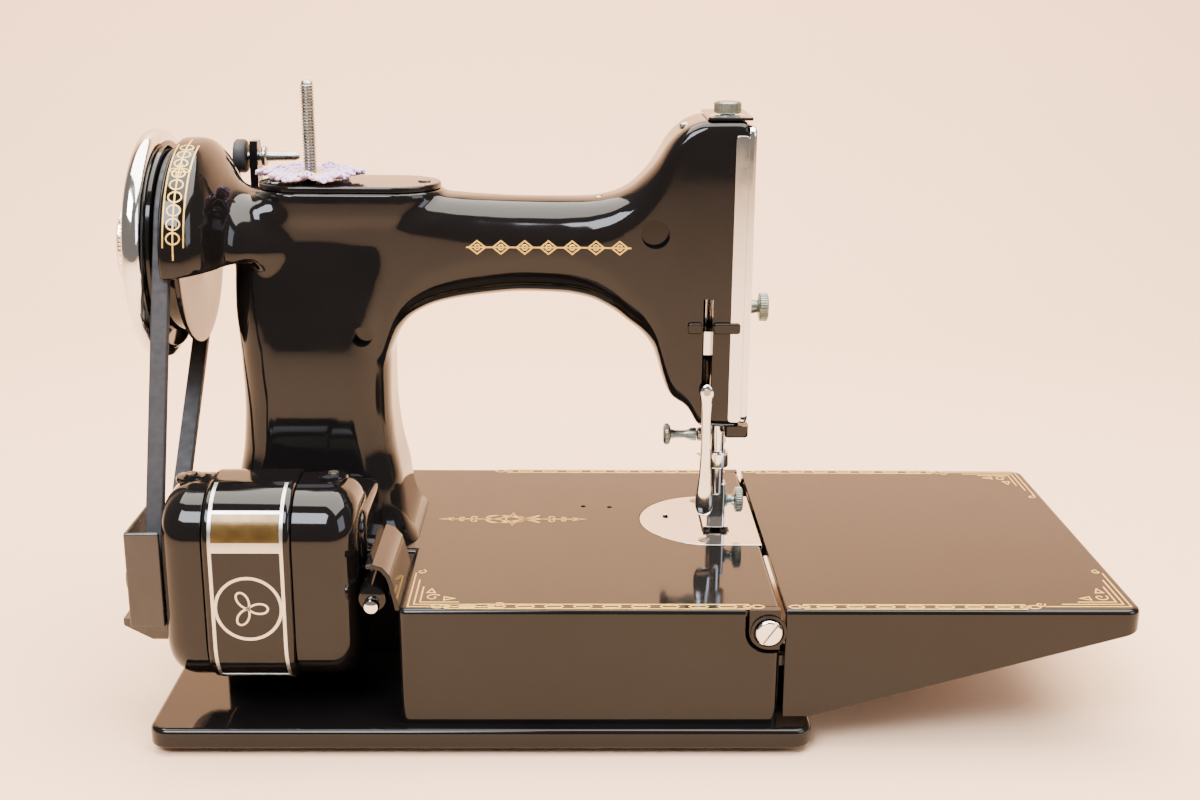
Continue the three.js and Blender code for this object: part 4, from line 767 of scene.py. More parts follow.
def build_feet():
    for corner in ("rear_left", "rear_right", "front_left", "front_right"):
        node = "rubber_foot_" + corner
        x, y, z = sum(span(node, "x")) / 2, sum(span(node, "y")) / 2, span(node, "z")[1]
        profile = [(0, 0.6), (3, 0.6), (3.4, 0), (6.8, 0), (8, 0.5), (8.8, 1.6), (9, 3), (9, z), (0, z)]
        foot = lathe(node + "_moulded", "z", (x, y), profile, 48)
        dress(foot, "rubber", "root", node)
    pan = from_cad("drip_pan", "drip_pan_sheet", 0.3)
    dress(pan, "enamel", "root", "drip_pan")


# ---------------------------------------------------------------- arm, pillar, head

# Stations along the arm: x, underside, top, half width, corner radius.
ARM_STATIONS = [
    (27, 150, 196, 14, 13), (29, 140, 202, 18, 13), (33, 133, 206, 20, 12), (40, 129, 207, 20.3, 11),
    (60, 129, 207, 20.3, 10), (84, 129, 207.4, 20.5, 12), (88.5, 141, 207.4, 20.5, 12),
    (92, 149, 207.2, 20.5, 13), (98, 155.6, 206.8, 20.5, 14), (109, 160.3, 206.4, 20.3, 15.5),
    (124, 162.8, 205.4, 20, 17), (144.4, 164.4, 204.7, 20, 18), (160.2, 163.9, 204.6, 20, 18),
    (170.6, 162.4, 204.7, 20, 17), (181, 157.8, 206.2, 20.3, 16), (188, 152.8, 209.2, 20.6, 15),
    (193.6, 148.7, 213.9, 20.9, 14), (199, 142, 220.4, 21.2, 12), (203.7, 127.6, 228.1, 21.6, 10),
    (207, 121.6, 232, 21.8, 8), (213.3, 117.9, 236.4, 22, 6), (219.7, 109, 238.2, 22, 4.5),
    (236, 108.6, 238.2, 22, 4),
]

# Stations up the pillar: z, left, right, half depth, corner radius.
PILLAR_STATIONS = [
    (58, 14, 100, 37, 15), (60.5, 15.5, 98.6, 35.6, 15), (64, 18.2, 95.8, 33, 15), (72, 20.5, 93.3, 31, 15),
    (83.5, 21.2, 92, 29.5, 15), (100, 23.8, 89, 28, 16), (119, 25, 87.5, 27, 16), (140, 24.4, 87.9, 26, 16),
    (160, 23, 91, 24, 15), (185, 24, 96, 20.6, 14), (203, 30, 104, 17, 12),
]


def build_arm():
    """The arm, pillar, head and wheel hood are one casting, so their skins run into each other."""
    stretch = [ARM_STATIONS[0][0] + k * 1.5 for k in range(int((ARM_STATIONS[-1][0] - ARM_STATIONS[0][0]) / 1.5) + 1)]
    rings = []
    for x in [*stretch, ARM_STATIONS[-1][0]]:
        _, low, high, half, r = smooth_row(ARM_STATIONS, x)
        outline = rounded_ring((ARM_Y - half, ARM_Y + half), (low, high), r, 12)
        rings.append([place("x", u, v, x) for u, v in outline])
    beam = loft("arm_skin", rings)
    rings = []
    for z in [58 + 3 * k for k in range(49)]:
        _, left, right, half, r = smooth_row(PILLAR_STATIONS, z)
        outline = rounded_ring((left, right), (ARM_Y - half, ARM_Y + half), r, 12)
        rings.append([place("z", u, v, z) for u, v in outline])
    pillar = loft("pillar_skin", rings)
    seat = slab("cover_seat", "z", (32.5, 110.5), (ARM_Y - 20.8, ARM_Y + 20.8), 20, 192, 208.2, 5, 1.2)
    profile = [(0, 1.5), (43.6, 1.5), (44.6, 1.9), (HOOD_RADIUS, 3), (HOOD_RADIUS, 10.2), (44.6, 12.6), (43.2, 14.6),
               (39.4, 17.9), (35, 20.4), (30.5, 22.6), (27, 25), (25.3, 28), (24.6, 31), (23.6, 35), (22, 40),
               (20.2, 46), (18, 52), (0, 52)]
    hood = lathe("hood_skin", "x", (ARM_Y, SHAFT_Z), profile, 128, HOOD_SPREAD)
    below = extruded("below", "y", [(-5, 100), (60, 100), (60, 150), (34, 181), (20, 178.4), (-5, 176.5)], 0, 200)
    cut(hood, below)
    arm = join(beam, pillar, seat, hood)
    arm.name = "arm_and_pillar"
    remesh = arm.modifiers.new("one skin", "REMESH")
    remesh.mode = "VOXEL"
    remesh.voxel_size = 0.0012
    ease = arm.modifiers.new("ease", "SMOOTH")
    ease.factor = 0.5
    ease.iterations = 10
    bake(arm)
    trim = [
        box("foot_line", (0, 130), (40, 170), (40, BED_TOP + 0.15)),
        box("face_line", (HEAD_X[1], 250), (60, 150), (100, 245)),
        lathe("hood_hollow", "x", (ARM_Y, SHAFT_Z), [(0, -3), (43.3, -3), (43.3, 9), (40, 11), (33, 12), (0, 12)],
              96, HOOD_SPREAD),
        rod("lamp_hole", "y", (199, 192), 6, HEAD_REAR - 4, HEAD_REAR + 6),
        rod("pillar_screw_hole", "y", (77.5, 149), 4.2, 60, 86),
        rod("oil_hole_arm", "z", (176, ARM_Y - 3), 1.4, 195, 215, steps=20),
        rod("oil_hole_head", "z", (211, ARM_Y - 4), 1.4, 225, 245, steps=20),
        box("lifter_slot", (221.5 - 2.1, 221.5 + 2.1), (HEAD_REAR - 2, HEAD_REAR + 6), (118, 165)),
        box("take_up_slot", (220.2, 223.8), (HEAD_FRONT - 8, HEAD_FRONT + 2), (168, 214)),
        box("head_inside", (209, 237), (HEAD_REAR + 5, HEAD_FRONT - 5), (HEAD_Z[0] + 4, HEAD_Z[1] - 6)),
        rod("bar_hole", "z", (NEEDLE_X, NEEDLE_Y), 3.4, 100, 116),
        rod("presser_hole", "z", (NEEDLE_X, PRESSER_Y), 3.4, 100, 116),
        rod("pressure_hole", "z", (NEEDLE_X, PRESSER_Y), 3.4, 228, 245),
        rod("shaft_hole", "x", (ARM_Y, SHAFT_Z), 5.2, 8, 60),
        rod("lever_hole", "y", (56, 122), 3.4, 128, 140),
        rod("tension_hole", "y", (222, 142), 2.9, HEAD_FRONT - 7, HEAD_FRONT + 3),
    ]
    for tool in trim:
        cut(arm, tool)
    dress(arm, "enamel", "root", "arm_casting", smooth=40)
    return arm


def build_arm_fittings():
    cover = slab("arm_cover_plate", "z", (33.4, 109.6), (ARM_Y - 19.9, ARM_Y + 19.9), 19.8, 208.35, 210.6, 0, 1)
    dress(cover, "enamel", "root", "arm_cover")
    screws("arm_cover_screws", "+z", [(40.5, ARM_Y, 210.7), (102.5, ARM_Y, 210.7)], 2.7, 0.9, "root")
    for name, at in (("oil_cup_arm", (176, ARM_Y - 3, 204.4)), ("oil_cup_head", (211, ARM_Y - 4, 235.1))):
        cup = lathe(name, "z", at[:2], [(1.0, at[2] - 2), (2.3, at[2] - 2), (2.3, at[2] + 0.4), (1.8, at[2] + 0.9),
                                        (1.0, at[2] + 0.5)], 32)
        dress(cup, "steel", "root")
    # The pin is a wound spring: its turns are 1.25 mm apart.
    turns = int(sizes().spool_pin_height * 1000 / 1.25)
    foot_z = 206.0
    profile = [(0, 202), (2.6, 202), (2.6, foot_z)]
    for k in range(turns * 4):
        profile.append((2.6 + 0.4 * math.cos(2 * math.pi * k / 4), foot_z + k * 0.3125))
    top = foot_z + turns * 1.25
    profile += [(2.4, top), (2.0, top + 0.6), (1.1, top + 1), (0, top + 1)]
    pin = lathe("spool_pin_coil", "z", (SPOOL_X, ARM_Y), profile, 32)
    dress(pin, "steel", "root", "spool_pin", smooth=60)
    # The winder stands on the front of the arm.
    bracket = from_cad("winder_bracket", "winder_arm", 0.8)
    dress(bracket, "enamel", "root", "winder_bracket")
    wy, wz = sum(span("winder_spindle", "y")) / 2, sum(span("winder_spindle", "z")) / 2
    wheel = lathe("winder_wheel", "x", (wy, wz), [
        (0, 14.5), (3, 14.5), (3.6, 15.2), (6.6, 15.4), (7.4, 16.2), (7.4, 19.6), (6.8, 20.4),
        (3, 20.8), (0, 20.8)], 56)
    dress(wheel, "rubber", "winder_spindle", slot="steel")
    spindle = lathe("winder_spindle_turned", "x", (wy, wz), [
        (0, 20.9), (2, 20.9), (2, 27), (4.2, 27.3), (4.5, 27.8), (4.5, 28.8), (4, 29.3), (2.4, 29.6), (2.1, 34),
        (1.9, 42), (1.2, 43.6), (0, 44)], 40)
    dress(spindle, "steel", "winder_spindle", "winder_spindle")


def build_mat():
    """A crocheted flower with six petals: a thin web, and a loop of yarn for each stitch."""
    petals, bottom = 6, 211.4
    def rim(angle):
        return 19 + 2.6 * math.cos(petals * angle)
    def height(share, angle):
        return bottom + 1.2 + 2.2 * share**2 * (0.5 + 0.5 * math.cos(petals * angle * 1.5 + 1)) + 0.5 * share
    steps, rows = 144, 10
    skins = []
    for lift in (0.0, -0.7):
        skins.append([[(SPOOL_X + (2.9 + (rim(a) - 2.9) * s) * math.cos(a), ARM_Y + (2.9 + (rim(a) - 2.9) * s)
                        * math.sin(a), height(s, a) + lift) for s in [k / rows for k in range(rows + 1)]]
                      for a in [2 * math.pi * i / steps for i in range(steps)]])
    web = loft("mat_web", [top + under[::-1] for top, under in zip(*skins)], closed=True)
    dress(web, "lilac", "root", "spool_mat", smooth=180)
    def stitches(name, first, last, colour):
        places, turns = [], []
        for row in range(first, last + 1):
            share = row / 9
            count = 12 + 5 * row
            for i in range(count):
                angle = 2 * math.pi * (i + 0.5 * (row % 2)) / count
                radius = 3.6 + (rim(angle) - 4.0) * share
                places.append(point(SPOOL_X + radius * math.cos(angle), ARM_Y + radius * math.sin(angle),
                                    height(share, angle) + 0.15))
                turns.append((0.25 * math.sin(3.1 * i + row), 0.35 + 0.2 * math.cos(2.3 * i), angle))
        mesh = bpy.data.meshes.new(name)
        mesh.from_pydata(places, [], [])
        field = mesh.attributes.new("turn", "FLOAT_VECTOR", "POINT")
        field.data.foreach_set("vector", [c for turn in turns for c in turn])
        made = bpy.data.objects.new(name, mesh)
        bpy.context.scene.collection.objects.link(made)
        grow(made, stitch_tree, Loop_length=0.0032, Loop_width=0.0019, Yarn=0.00055, Material=finish(colour))
        return dress(made, colour, "root", smooth=180)
    centre = stitches("mat_stitches_centre", 0, 2, "yellow")
    petal = stitches("mat_stitches_petals", 3, 9, "lilac")


# ---------------------------------------------------------------- needle head


def build_head():
    y = (HEAD_REAR - 0.4, HEAD_FRONT + 0.4)
    plate = slab("face_plate_chromed", "x", y, (110.6, 236.4), 4.5, 236.35, 239.4, 0.2, 1.6)
    inside = slab("inside", "x", (y[0] + 3.4, y[1] - 3.4), (114, 233), 3, 235, 237.6)
    cut(plate, inside)
    dress(plate, "chrome", "root", "face_plate")
    lip = slab("face_plate_lip", "y", (230.9, 236.3), (112, 232.5), 1.5, HEAD_REAR - 0.75, HEAD_REAR - 0.15, 0.2, 0)
    dress(lip, "chrome", "root")
    top_trim = slab("head_top_trim", "z", (219.5, 238), (HEAD_REAR + 2, HEAD_FRONT - 2), 2, 238.35, 239.6, 0, 0.5)
    dress(top_trim, "enamel", "root")
    for name, ends in (("head_rib_right", (223.8, 235)), ("head_rib_left", (213, 219))):
        rib = slab(name, "y", ends, (150.6, 155.2), 1.2, HEAD_REAR - 1.8, HEAD_REAR + 0.2, 0.7, 0)
        dress(rib, "enamel", "root")
    lug = slab("head_lug", "z", (230, 240.2), (HEAD_REAR + 1, HEAD_REAR + 9), 2, 104.4, 109.6, 1, 0)
    dress(lug, "enamel", "root")
    face_z = 157.2
    knob = lathe("face_plate_thumb_screw", "x", (NEEDLE_Y, face_z), [
        (0, 233.5), (2, 233.5), (2, 240.8), (3.3, 240.9), (3.0, 242.4), (2.6, 244.4), (3.6, 245.0), (5.3, 245.2),
        (5.9, 245.8), (5.9, 248.3), (5.4, 249.0), (2.4, 249.1), (2.0, 248.8), (0, 248.7)], 48)
    knurl(knob, "+x", (247.05, NEEDLE_Y, face_z), 5.9, 3.1, 36)
    dress(knob, "nickel", "face_plate_screw", "face_plate_screw")
    top = HEAD_Z[1]
    knob = lathe("pressure_thumb_screw", "z", (NEEDLE_X, PRESSER_Y), [
        (0, 225), (2.9, 225), (2.9, top + 1.8), (3.4, top + 2.1), (4.9, top + 2.3), (5.3, top + 2.8),
        (5.3, top + 6.4), (4.8, top + 7.1), (2.2, top + 7.3), (1.6, top + 7.0), (0, top + 7.0)], 48)
    knurl(knob, "+z", (NEEDLE_X, PRESSER_Y, top + 4.6), 5.3, 3.9, 34)
    dress(knob, "nickel", "pressure_screw", "pressure_screw")
    collar = lathe("pressure_collar", "z", (NEEDLE_X, PRESSER_Y), [
        (3.2, top + 0.2), (7.4, top + 0.2), (7.4, top + 1.5), (6.4, top + 1.9), (3.2, top + 1.7)], 48)
    dress(collar, "chrome", "root")


def build_lifter():
    """The presser-foot lifter is a chromed drop: narrow at its pivot and full near its tip."""
    x, pivot, back = 221.5, 125.5, HEAD_REAR - 1.9
    stations = [(71.2, 0.2, 0.1), (71.9, 1.9, 0.8), (73.5, 3.2, 1.5), (76.5, 3.9, 2.0), (80, 3.8, 2.0),
                (86, 3.1, 1.7), (94, 2.35, 1.3), (104, 1.95, 1.1), (114, 1.9, 1.0), (121, 2.3, 1.1),
                (125.5, 2.9, 1.2),
                (128, 2.3, 1.0), (129.2, 0.9, 0.5), (129.5, 0.1, 0.1)]
    rings = []
    for z in [71.2 + k * (129.5 - 71.2) / 60 for k in range(61)]:
        _, half, thick = smooth_row(stations, z)
        lean = -1.6 * (1 - math.cos(math.pi * min(max((pivot - z) / 50, 0), 1))) / 2
        rings.append([(x + half * math.cos(a), back - 1.4 + lean + thick * math.sin(a), z)
                      for a in [2 * math.pi * k / 32 for k in range(32)]])
    handle = loft("presser_lifter_drop", rings)
    hub = rod("hub", "y", (x, pivot), 2, back - 1.6, HEAD_REAR + 3.4)
    join(handle, hub)
    dress(handle, "chrome", "presser_lifter", "presser_lifter", smooth=60)
    screws("lifter_screws", "-y", [(x, back - 2.7, 126.2)], 1.5, 0.7, "presser_lifter")


def build_bars():
    bar_top = 224
    bar = rod("needle_bar_ground", "z", (NEEDLE_X, NEEDLE_Y), 3, 97, bar_top, 0.3)
    stud = box("stud", (NEEDLE_X - 6, NEEDLE_X + 3.6), (NEEDLE_Y - 3.6, NEEDLE_Y + 3.6), (150, 162))
    join(bar, stud)
    dress(bar, "chrome", "needle_bar", "needle_bar", slot="steel")
    clamp = lathe("needle_clamp_turned", "z", (NEEDLE_X, NEEDLE_Y), [
        (1.3, 95), (3.6, 95), (4.4, 95.5), (4.9, 96.4), (4.9, 102.6), (4.4, 103.6), (3.2, 104),
        (3.2, 97), (1.3, 97)], 48)
    lug = slab("lug", "x", (NEEDLE_Y - 3, NEEDLE_Y + 3), (96.5, 102.5), 2.4, NEEDLE_X - 8, NEEDLE_X - 3.4, 0.8, 0)
    join(clamp, lug)
    dress(clamp, "steel", "needle_bar", "needle_clamp")
    screw = lathe("needle_clamp_thumb_screw", "x", (NEEDLE_Y, 99.5), [
        (0, 205), (3.4, 205), (4.2, 205.5), (4.5, 206.2), (4.5, 207.2), (3.9, 208), (2.4, 208.4), (1.8, 210),
        (1.7, 214), (2.2, 216), (2.9, 217.2), (2.9, 219.6), (1.5, 219.7), (1.5, 224), (0, 224)], 48)
    knurl(screw, "+x", (206.6, NEEDLE_Y, 99.5), 4.4, 1.5, 30, "moulding")
    dress(screw, "nickel", "needle_clamp_screw", "needle_clamp_screw")
    needle = lathe("needle_ground", "z", (NEEDLE_X, NEEDLE_Y), [
        (0, 66), (0.25, 67.5), (0.5, 70.5), (0.45, 72), (0.55, 73), (0.55, 88), (1.1, 90), (1.1, 107), (0, 107)], 24)
    dress(needle, "chrome", "needle_bar", "needle")
    bar = rod("presser_bar_ground", "z", (NEEDLE_X, PRESSER_Y), 3, 76.4, 214, 0.3)
    guide = slab("guide", "z", (219.6, NEEDLE_X), (PRESSER_Y - 5.6, PRESSER_Y + 2), 1, 140, 150)
    join(bar, guide)
    dress(bar, "chrome", "presser", "presser_bar", slot="steel")
    cutter = lathe("thread_cutter_collar", "z", (NEEDLE_X, PRESSER_Y), [
        (3.2, 89), (4.7, 89), (5.0, 89.5), (5.0, 95), (4.6, 95.6), (3.2, 95.6)], 48)
    blade = extruded("blade", "y", [(NEEDLE_X - 9, 94.4), (NEEDLE_X - 4, 90.2), (NEEDLE_X - 4, 94.4)],
                     PRESSER_Y - 0.5, PRESSER_Y + 0.5)
    join(cutter, blade)
    dress(cutter, "chrome", "presser", "thread_cutter", slot="steel")
    z = 60.3
    sole = [(PRESSER_Y - 3.5, z + 1.3), (PRESSER_Y - 1.5, z), (PRESSER_Y + 16, z)]
    sole += [(PRESSER_Y + 16 + 6 * math.sin(a), z + 4.4 - 4.4 * math.cos(a)) for a in (0.4, 0.8, 1.1, 1.35)]
    sole += [(PRESSER_Y + 21.2, z + 4.9), (PRESSER_Y + 19, z + 2.9), (PRESSER_Y + 15.5, z + 1.6),
             (PRESSER_Y - 1, z + 1.6)]
    foot = extruded("presser_foot_formed", "x", sole, NEEDLE_X - 5.5, NEEDLE_X + 5.5)
    cut(foot, box("toe_gap", (NEEDLE_X - 1.3, NEEDLE_X + 1.3), (NEEDLE_Y - 3, 120), (50, 70)))
    soften(foot, 0.25, 2)
    shank = slab("shank", "z", (NEEDLE_X - 4, NEEDLE_X + 4), (PRESSER_Y - 2.5, PRESSER_Y + 4.6), 1.4, z + 1, z + 21,
                 0, 0.8)
    cut(shank, rod("seat", "z", (NEEDLE_X, PRESSER_Y), 3.3, z + 15.8, z + 30))
    join(foot, shank)
    dress(foot, "chrome", "presser", "presser_foot")
    y, zc = PRESSER_Y + 1, z + 12.5
    screw = lathe("presser_foot_thumb_screw", "x", (y, zc), [
        (0, 229), (1.7, 229), (1.7, 232.2), (3.3, 232.3), (2.6, 233.2), (2.2, 234.6), (2.6, 235.8), (4.6, 236.3),
        (5.2, 236.8), (5.2, 239), (4.7, 239.7), (2, 239.8), (1.6, 239.5), (0, 239.5)], 48)
    knurl(screw, "+x", (237.95, y, zc), 5.2, 2.5, 32)
    dress(screw, "nickel", "presser_foot_screw", "presser_foot_screw")


def build_throat():
    plate = extruded("throat_plate_polished", "z", throat_outline(0), BED_TOP - 1.8, BED_TOP + 0.05)
    tools = [rod("needle_hole", "z", (NEEDLE_X, NEEDLE_Y), 1.3, 50, 62, steps=24)]
    tools += [box("feed_slot", (x - 1.7, x + 1.7), (89.5, 116.5), (50, 62)) for x in (NEEDLE_X - 4.2, NEEDLE_X + 4.2)]
    tools.append(slab("slide_slot", "z", (205.9, 208.1), (106.6, 111.4), 1, 50, 62))
    for tool in tools:
        cut(plate, tool)
    soften(plate, 0.22, 2)
    dress(plate, "chrome", "root", "throat_plate")
    screws("throat_plate_screws", "+z", [(222, 80, BED_TOP), (222, 130, BED_TOP)], 2.5, 0.7, "root")
    # The feed dog's teeth are 1.5 mm apart.
    rows = []
    for x in (NEEDLE_X - 4.2, NEEDLE_X + 4.2):
        outline = [(92, 57.2)]
        for k in range(14):
            outline += [(92.3 + k * 1.5, 59.3), (93.5 + k * 1.5, 59.9)]
        outline += [(114, 57.2)]
        rows.append(extruded("row", "x", outline, x - 1.2, x + 1.2))
    base = box("feed_dog_teeth", (221.8, 234.2), (92, 114), (55.5, 57.1))
    cut(base, rod("hole", "z", (NEEDLE_X, NEEDLE_Y), 2.2, 50, 62))
    join(base, *rows)
    dress(base, "steel", "feed_dog", "feed_dog", smooth=20)


def build_front():
    """Thread path, stitch regulator, lamp and switch, on the operator's side."""
    y = HEAD_FRONT
    discs = lathe("tension_discs", "y", (222, 142), [
        (0, y - 6), (2.5, y - 6), (2.5, y + 0.3), (9.2, y + 0.4), (9.4, y + 0.9), (9.0, y + 1.4), (3.6, y + 2.2),
        (9.4, y + 2.9), (10.6, y + 3.4), (10.4, y + 3.9), (4, y + 4.2), (10.4, y + 4.6), (10.6, y + 5.1),
        (9.4, y + 5.6), (3.6, y + 6.3), (2, y + 6.5), (2, y + 15), (0, y + 15)], 56)
    dress(discs, "chrome", "root", "tension_stud")
    dial = lathe("tension_dial_turned", "y", (222, 142), [
        (2.4, y + 8), (8.3, y + 8), (9.2, y + 8.6), (9.4, y + 9.4), (9.4, y + 12.6), (8.8, y + 13.4), (6.4, y + 14.4),
        (6.1, y + 20.6), (5.5, y + 21.7), (0, y + 22), (0, y + 15.6), (2.4, y + 15.6)], 56)
    knurl(dial, "+y", (222, y + 17.4, 142), 6.1, 4.6, 34, "steel")
    dress(dial, "steel", "tension_dial", "tension_dial")
    # Numbers on the dial are left as plain division marks.
    marks = []
    for k in range(10):
        a = 2 * math.pi * k / 10
        out = Vector((math.cos(a), 0, math.sin(a)))
        start, end = point(222, y + 9.6, 142) + out * 0.00942, point(222, y + 12.2, 142) + out * 0.00942
        marks.append(([(start, out), (end, out)], False))
    dress(ribbon("tension_dial_marks", marks, 0.45, 0.06), "moulding", "tension_dial")
    lever = from_cad("take_up_lever", "take_up_lever_bent", 0.45)
    dress(lever, "chrome", "take_up", "take_up_lever")
    guide = slab("thread_guide", "z", (213, 219), (y - 0.2, y + 5.4), 2.4, 186, 187.4, 0.4, 0.4)
    cut(guide, rod("eye", "z", (216, y + 3), 1.1, 180, 190, steps=24))
    dress(guide, "chrome", "root")
    plate = from_cad("stitch_plate", "stitch_plate_polished", 0.3)
    dress(plate, "chrome", "root", "stitch_plate")
    zs = span("stitch_plate", "z")
    face = span("stitch_plate", "y")[1]
    ticks = [([(point(48.6, face, z), Vector((0, 1, 0))), (point(51.4, face, z), Vector((0, 1, 0)))], False)
             for z in [zs[0] + 5 + k * (zs[1] - zs[0] - 10) / 8 for k in range(9)]]
    dress(ribbon("stitch_plate_marks", ticks, 0.5, 0.05), "moulding", "root")
    screws("stitch_plate_screws", "+y", [(56, face, zs[0] + 3.6), (56, face, zs[1] - 3.6)], 1.9, 0.8, "root")
    lever = from_cad("stitch_lever", "stitch_lever_polished", 0.4)
    dress(lever, "steel", "stitch_lever", "stitch_lever")
    shade = from_cad("lamp_shade", "lamp_shade_pressed", 0.3)
    dress(shade, "enamel", "root", "lamp_shade", smooth=40)
    face = 125.8 + 15
    bulb = lathe("lamp_bulb_blown", "x", (face, 182), [
        (0, 108), (5.6, 108), (6, 108.6), (6, 119), (6.6, 121), (8.4, 125), (9.4, 131), (9.4, 137), (8.4, 143),
        (6.4, 147.5), (3.4, 150.3), (0, 151)], 56)
    dress(bulb, "glass", "root", "lamp_bulb", smooth=60)
    switch = from_cad("lamp_switch", "lamp_switch_knob", 0.3)
    dress(switch, "steel", "lamp_switch", "lamp_switch")


# ---------------------------------------------------------------- wheel, belt and motor


def build_wheel():
    rim = lathe("handwheel_rim", "x", (ARM_Y, SHAFT_Z), [
        (WHEEL_RADIUS - 9.5, -11.0), (WHEEL_RADIUS - 8.2, -12.3), (WHEEL_RADIUS - 5.6, -13.1),
        (WHEEL_RADIUS - 3, -12.9), (WHEEL_RADIUS - 1.2, -12.0), (WHEEL_RADIUS - 0.2, -10.6), (WHEEL_RADIUS, -9.1),
        (WHEEL_RADIUS - 0.1, -7.4), (WHEEL_RADIUS - 0.8, -5.9), (WHEEL_RADIUS - 2.2, -4.9),
        (WHEEL_RADIUS - 4.6, -4.6),
        (WHEEL_RADIUS - 6.4, -4.9)], 160)
    dress(rim, "chrome", "handwheel", "handwheel")
    body = lathe("handwheel_body", "x", (ARM_Y, SHAFT_Z), [
        (5.1, -15), (21.5, -15), (24, -12.5), (30, -12.2), (WHEEL_RADIUS - 10.6, -10.6), (WHEEL_RADIUS - 9.6, -10.8),
        (WHEEL_RADIUS - 6.6, -4.8), (WHEEL_RADIUS - 4.8, -4.5), (WHEEL_RADIUS - 5.2, -4.3), (42.6, -4.2),
        (42.4, -2.9),
        (40.4, -2.6), (36, -2.4), (35.7, 5.2), (40.3, 5.4), (41.1, 6.0), (40.8, 7.2), (38.6, 7.4), (35, 7.3),
        (16.5, 7.3), (13, 8.4), (5.1, 8.4)], 128)
    dress(body, "enamel", "handwheel")
    knob = lathe("clutch_knob_turned", "x", (ARM_Y, SHAFT_Z), [
        (0, -23.4), (3, -23.4), (4, -22.8), (6, -22.8), (7, -23.7), (13.8, -24), (17.2, -23.4), (18.8, -22.2),
        (18.8, -17.6), (17.8, -16.4), (12, -15.5), (5.1, -15.4), (5.1, -20.4), (0, -20.4)], 96)
    knurl(knob, "+x", (-19.9, ARM_Y, SHAFT_Z), 18.7, 3.6, 72, "chrome")
    dress(knob, "chrome", "clutch", "clutch_knob")


def build_belt():
    """The belt's path is two arcs joined by straight runs."""
    wheel, motor = Vector((ARM_Y, SHAFT_Z)), Vector((MOTOR_Y, MOTOR_Z))
    line = motor - wheel
    heading = math.atan2(line.y, line.x)
    spread = math.acos((BELT_WHEEL_RADIUS - BELT_MOTOR_RADIUS) / line.length)
    path = []
    for centre, radius, start, end, steps in (
            (wheel, BELT_WHEEL_RADIUS, heading + spread, heading - spread + 2 * math.pi, 64),
            (motor, BELT_MOTOR_RADIUS, heading - spread, heading + spread, 24)):
        for k in range(steps + 1):
            a = start + (end - start) * k / steps
            path.append((centre + radius * Vector((math.cos(a), math.sin(a))), Vector((math.cos(a), math.sin(a)))))
    rings = []
    for here, out in path:
        section = rounded_ring((-3.4, 3.4), (-2.1, 2.1), 0.8, 3)
        rings.append([(BELT_X + w, here.x + out.x * h, here.y + out.y * h) for w, h in section])
    belt = loft("drive_belt_moulded", rings, closed=True)
    dress(belt, "rubber", "root", "drive_belt", smooth=30)


def motor_ring(x, grow_by, steps=14):
    """The motor's rounded outline, grown or drawn in."""
    half_depth, half_height = MOTOR_HALF_DEPTH + grow_by, MOTOR_HALF_HEIGHT + grow_by
    ring = rounded_ring((MOTOR_Y - half_depth, MOTOR_Y + half_depth), (MOTOR_Z - half_height, MOTOR_Z + half_height),
                        MOTOR_CORNER + grow_by, steps)
    return [place("x", u, v, x) for u, v in ring]


def motor_face(low, high, steps=24):
    """Places and normals down the back of the motor band, from one share of its height to another."""
    back = [(y, z) for _, y, z in motor_ring(0, BAND_PROUD, 24) if y <= MOTOR_Y - 1]
    back.sort(key=lambda p: math.atan2(p[1] - MOTOR_Z, -(p[0] - MOTOR_Y)))
    lengths = [0.0]
    for a, b in zip(back, back[1:]):
        lengths.append(lengths[-1] + math.dist(a, b))
    def at(s):
        s = min(max(s, 0), lengths[-1])
        i = max(k for k in range(len(lengths) - 1) if lengths[k] <= s)
        t = (s - lengths[i]) / (lengths[i + 1] - lengths[i])
        (u0, v0), (u1, v1) = back[i], back[i + 1]
        normal = Vector((0, -(v1 - v0), u1 - u0)).normalized()
        return (u0 + (u1 - u0) * t, v0 + (v1 - v0) * t), normal
    made = []
    for k in range(steps + 1):
        (u, v), normal = at(lengths[-1] * (low + (high - low) * k / steps))
        made.append((u, v, normal if normal.y < 0 or abs(normal.z) > 0.5 else -normal))
    return made


def band_strip(name, x, width, low, high, lift, kind):
    """A strip of the motor's label, wrapped round the back of its band."""
    route = []
    for u, v, normal in motor_face(low, high):
        out = Vector((0, u - MOTOR_Y, v - MOTOR_Z))
        if normal.dot(out) < 0:
            normal = -normal
        route.append((point(x, u, v) + normal * lift / 1000, normal))
    return dress(ribbon(name, [(route, False)], width, 0.16), kind, "root", smooth=30)


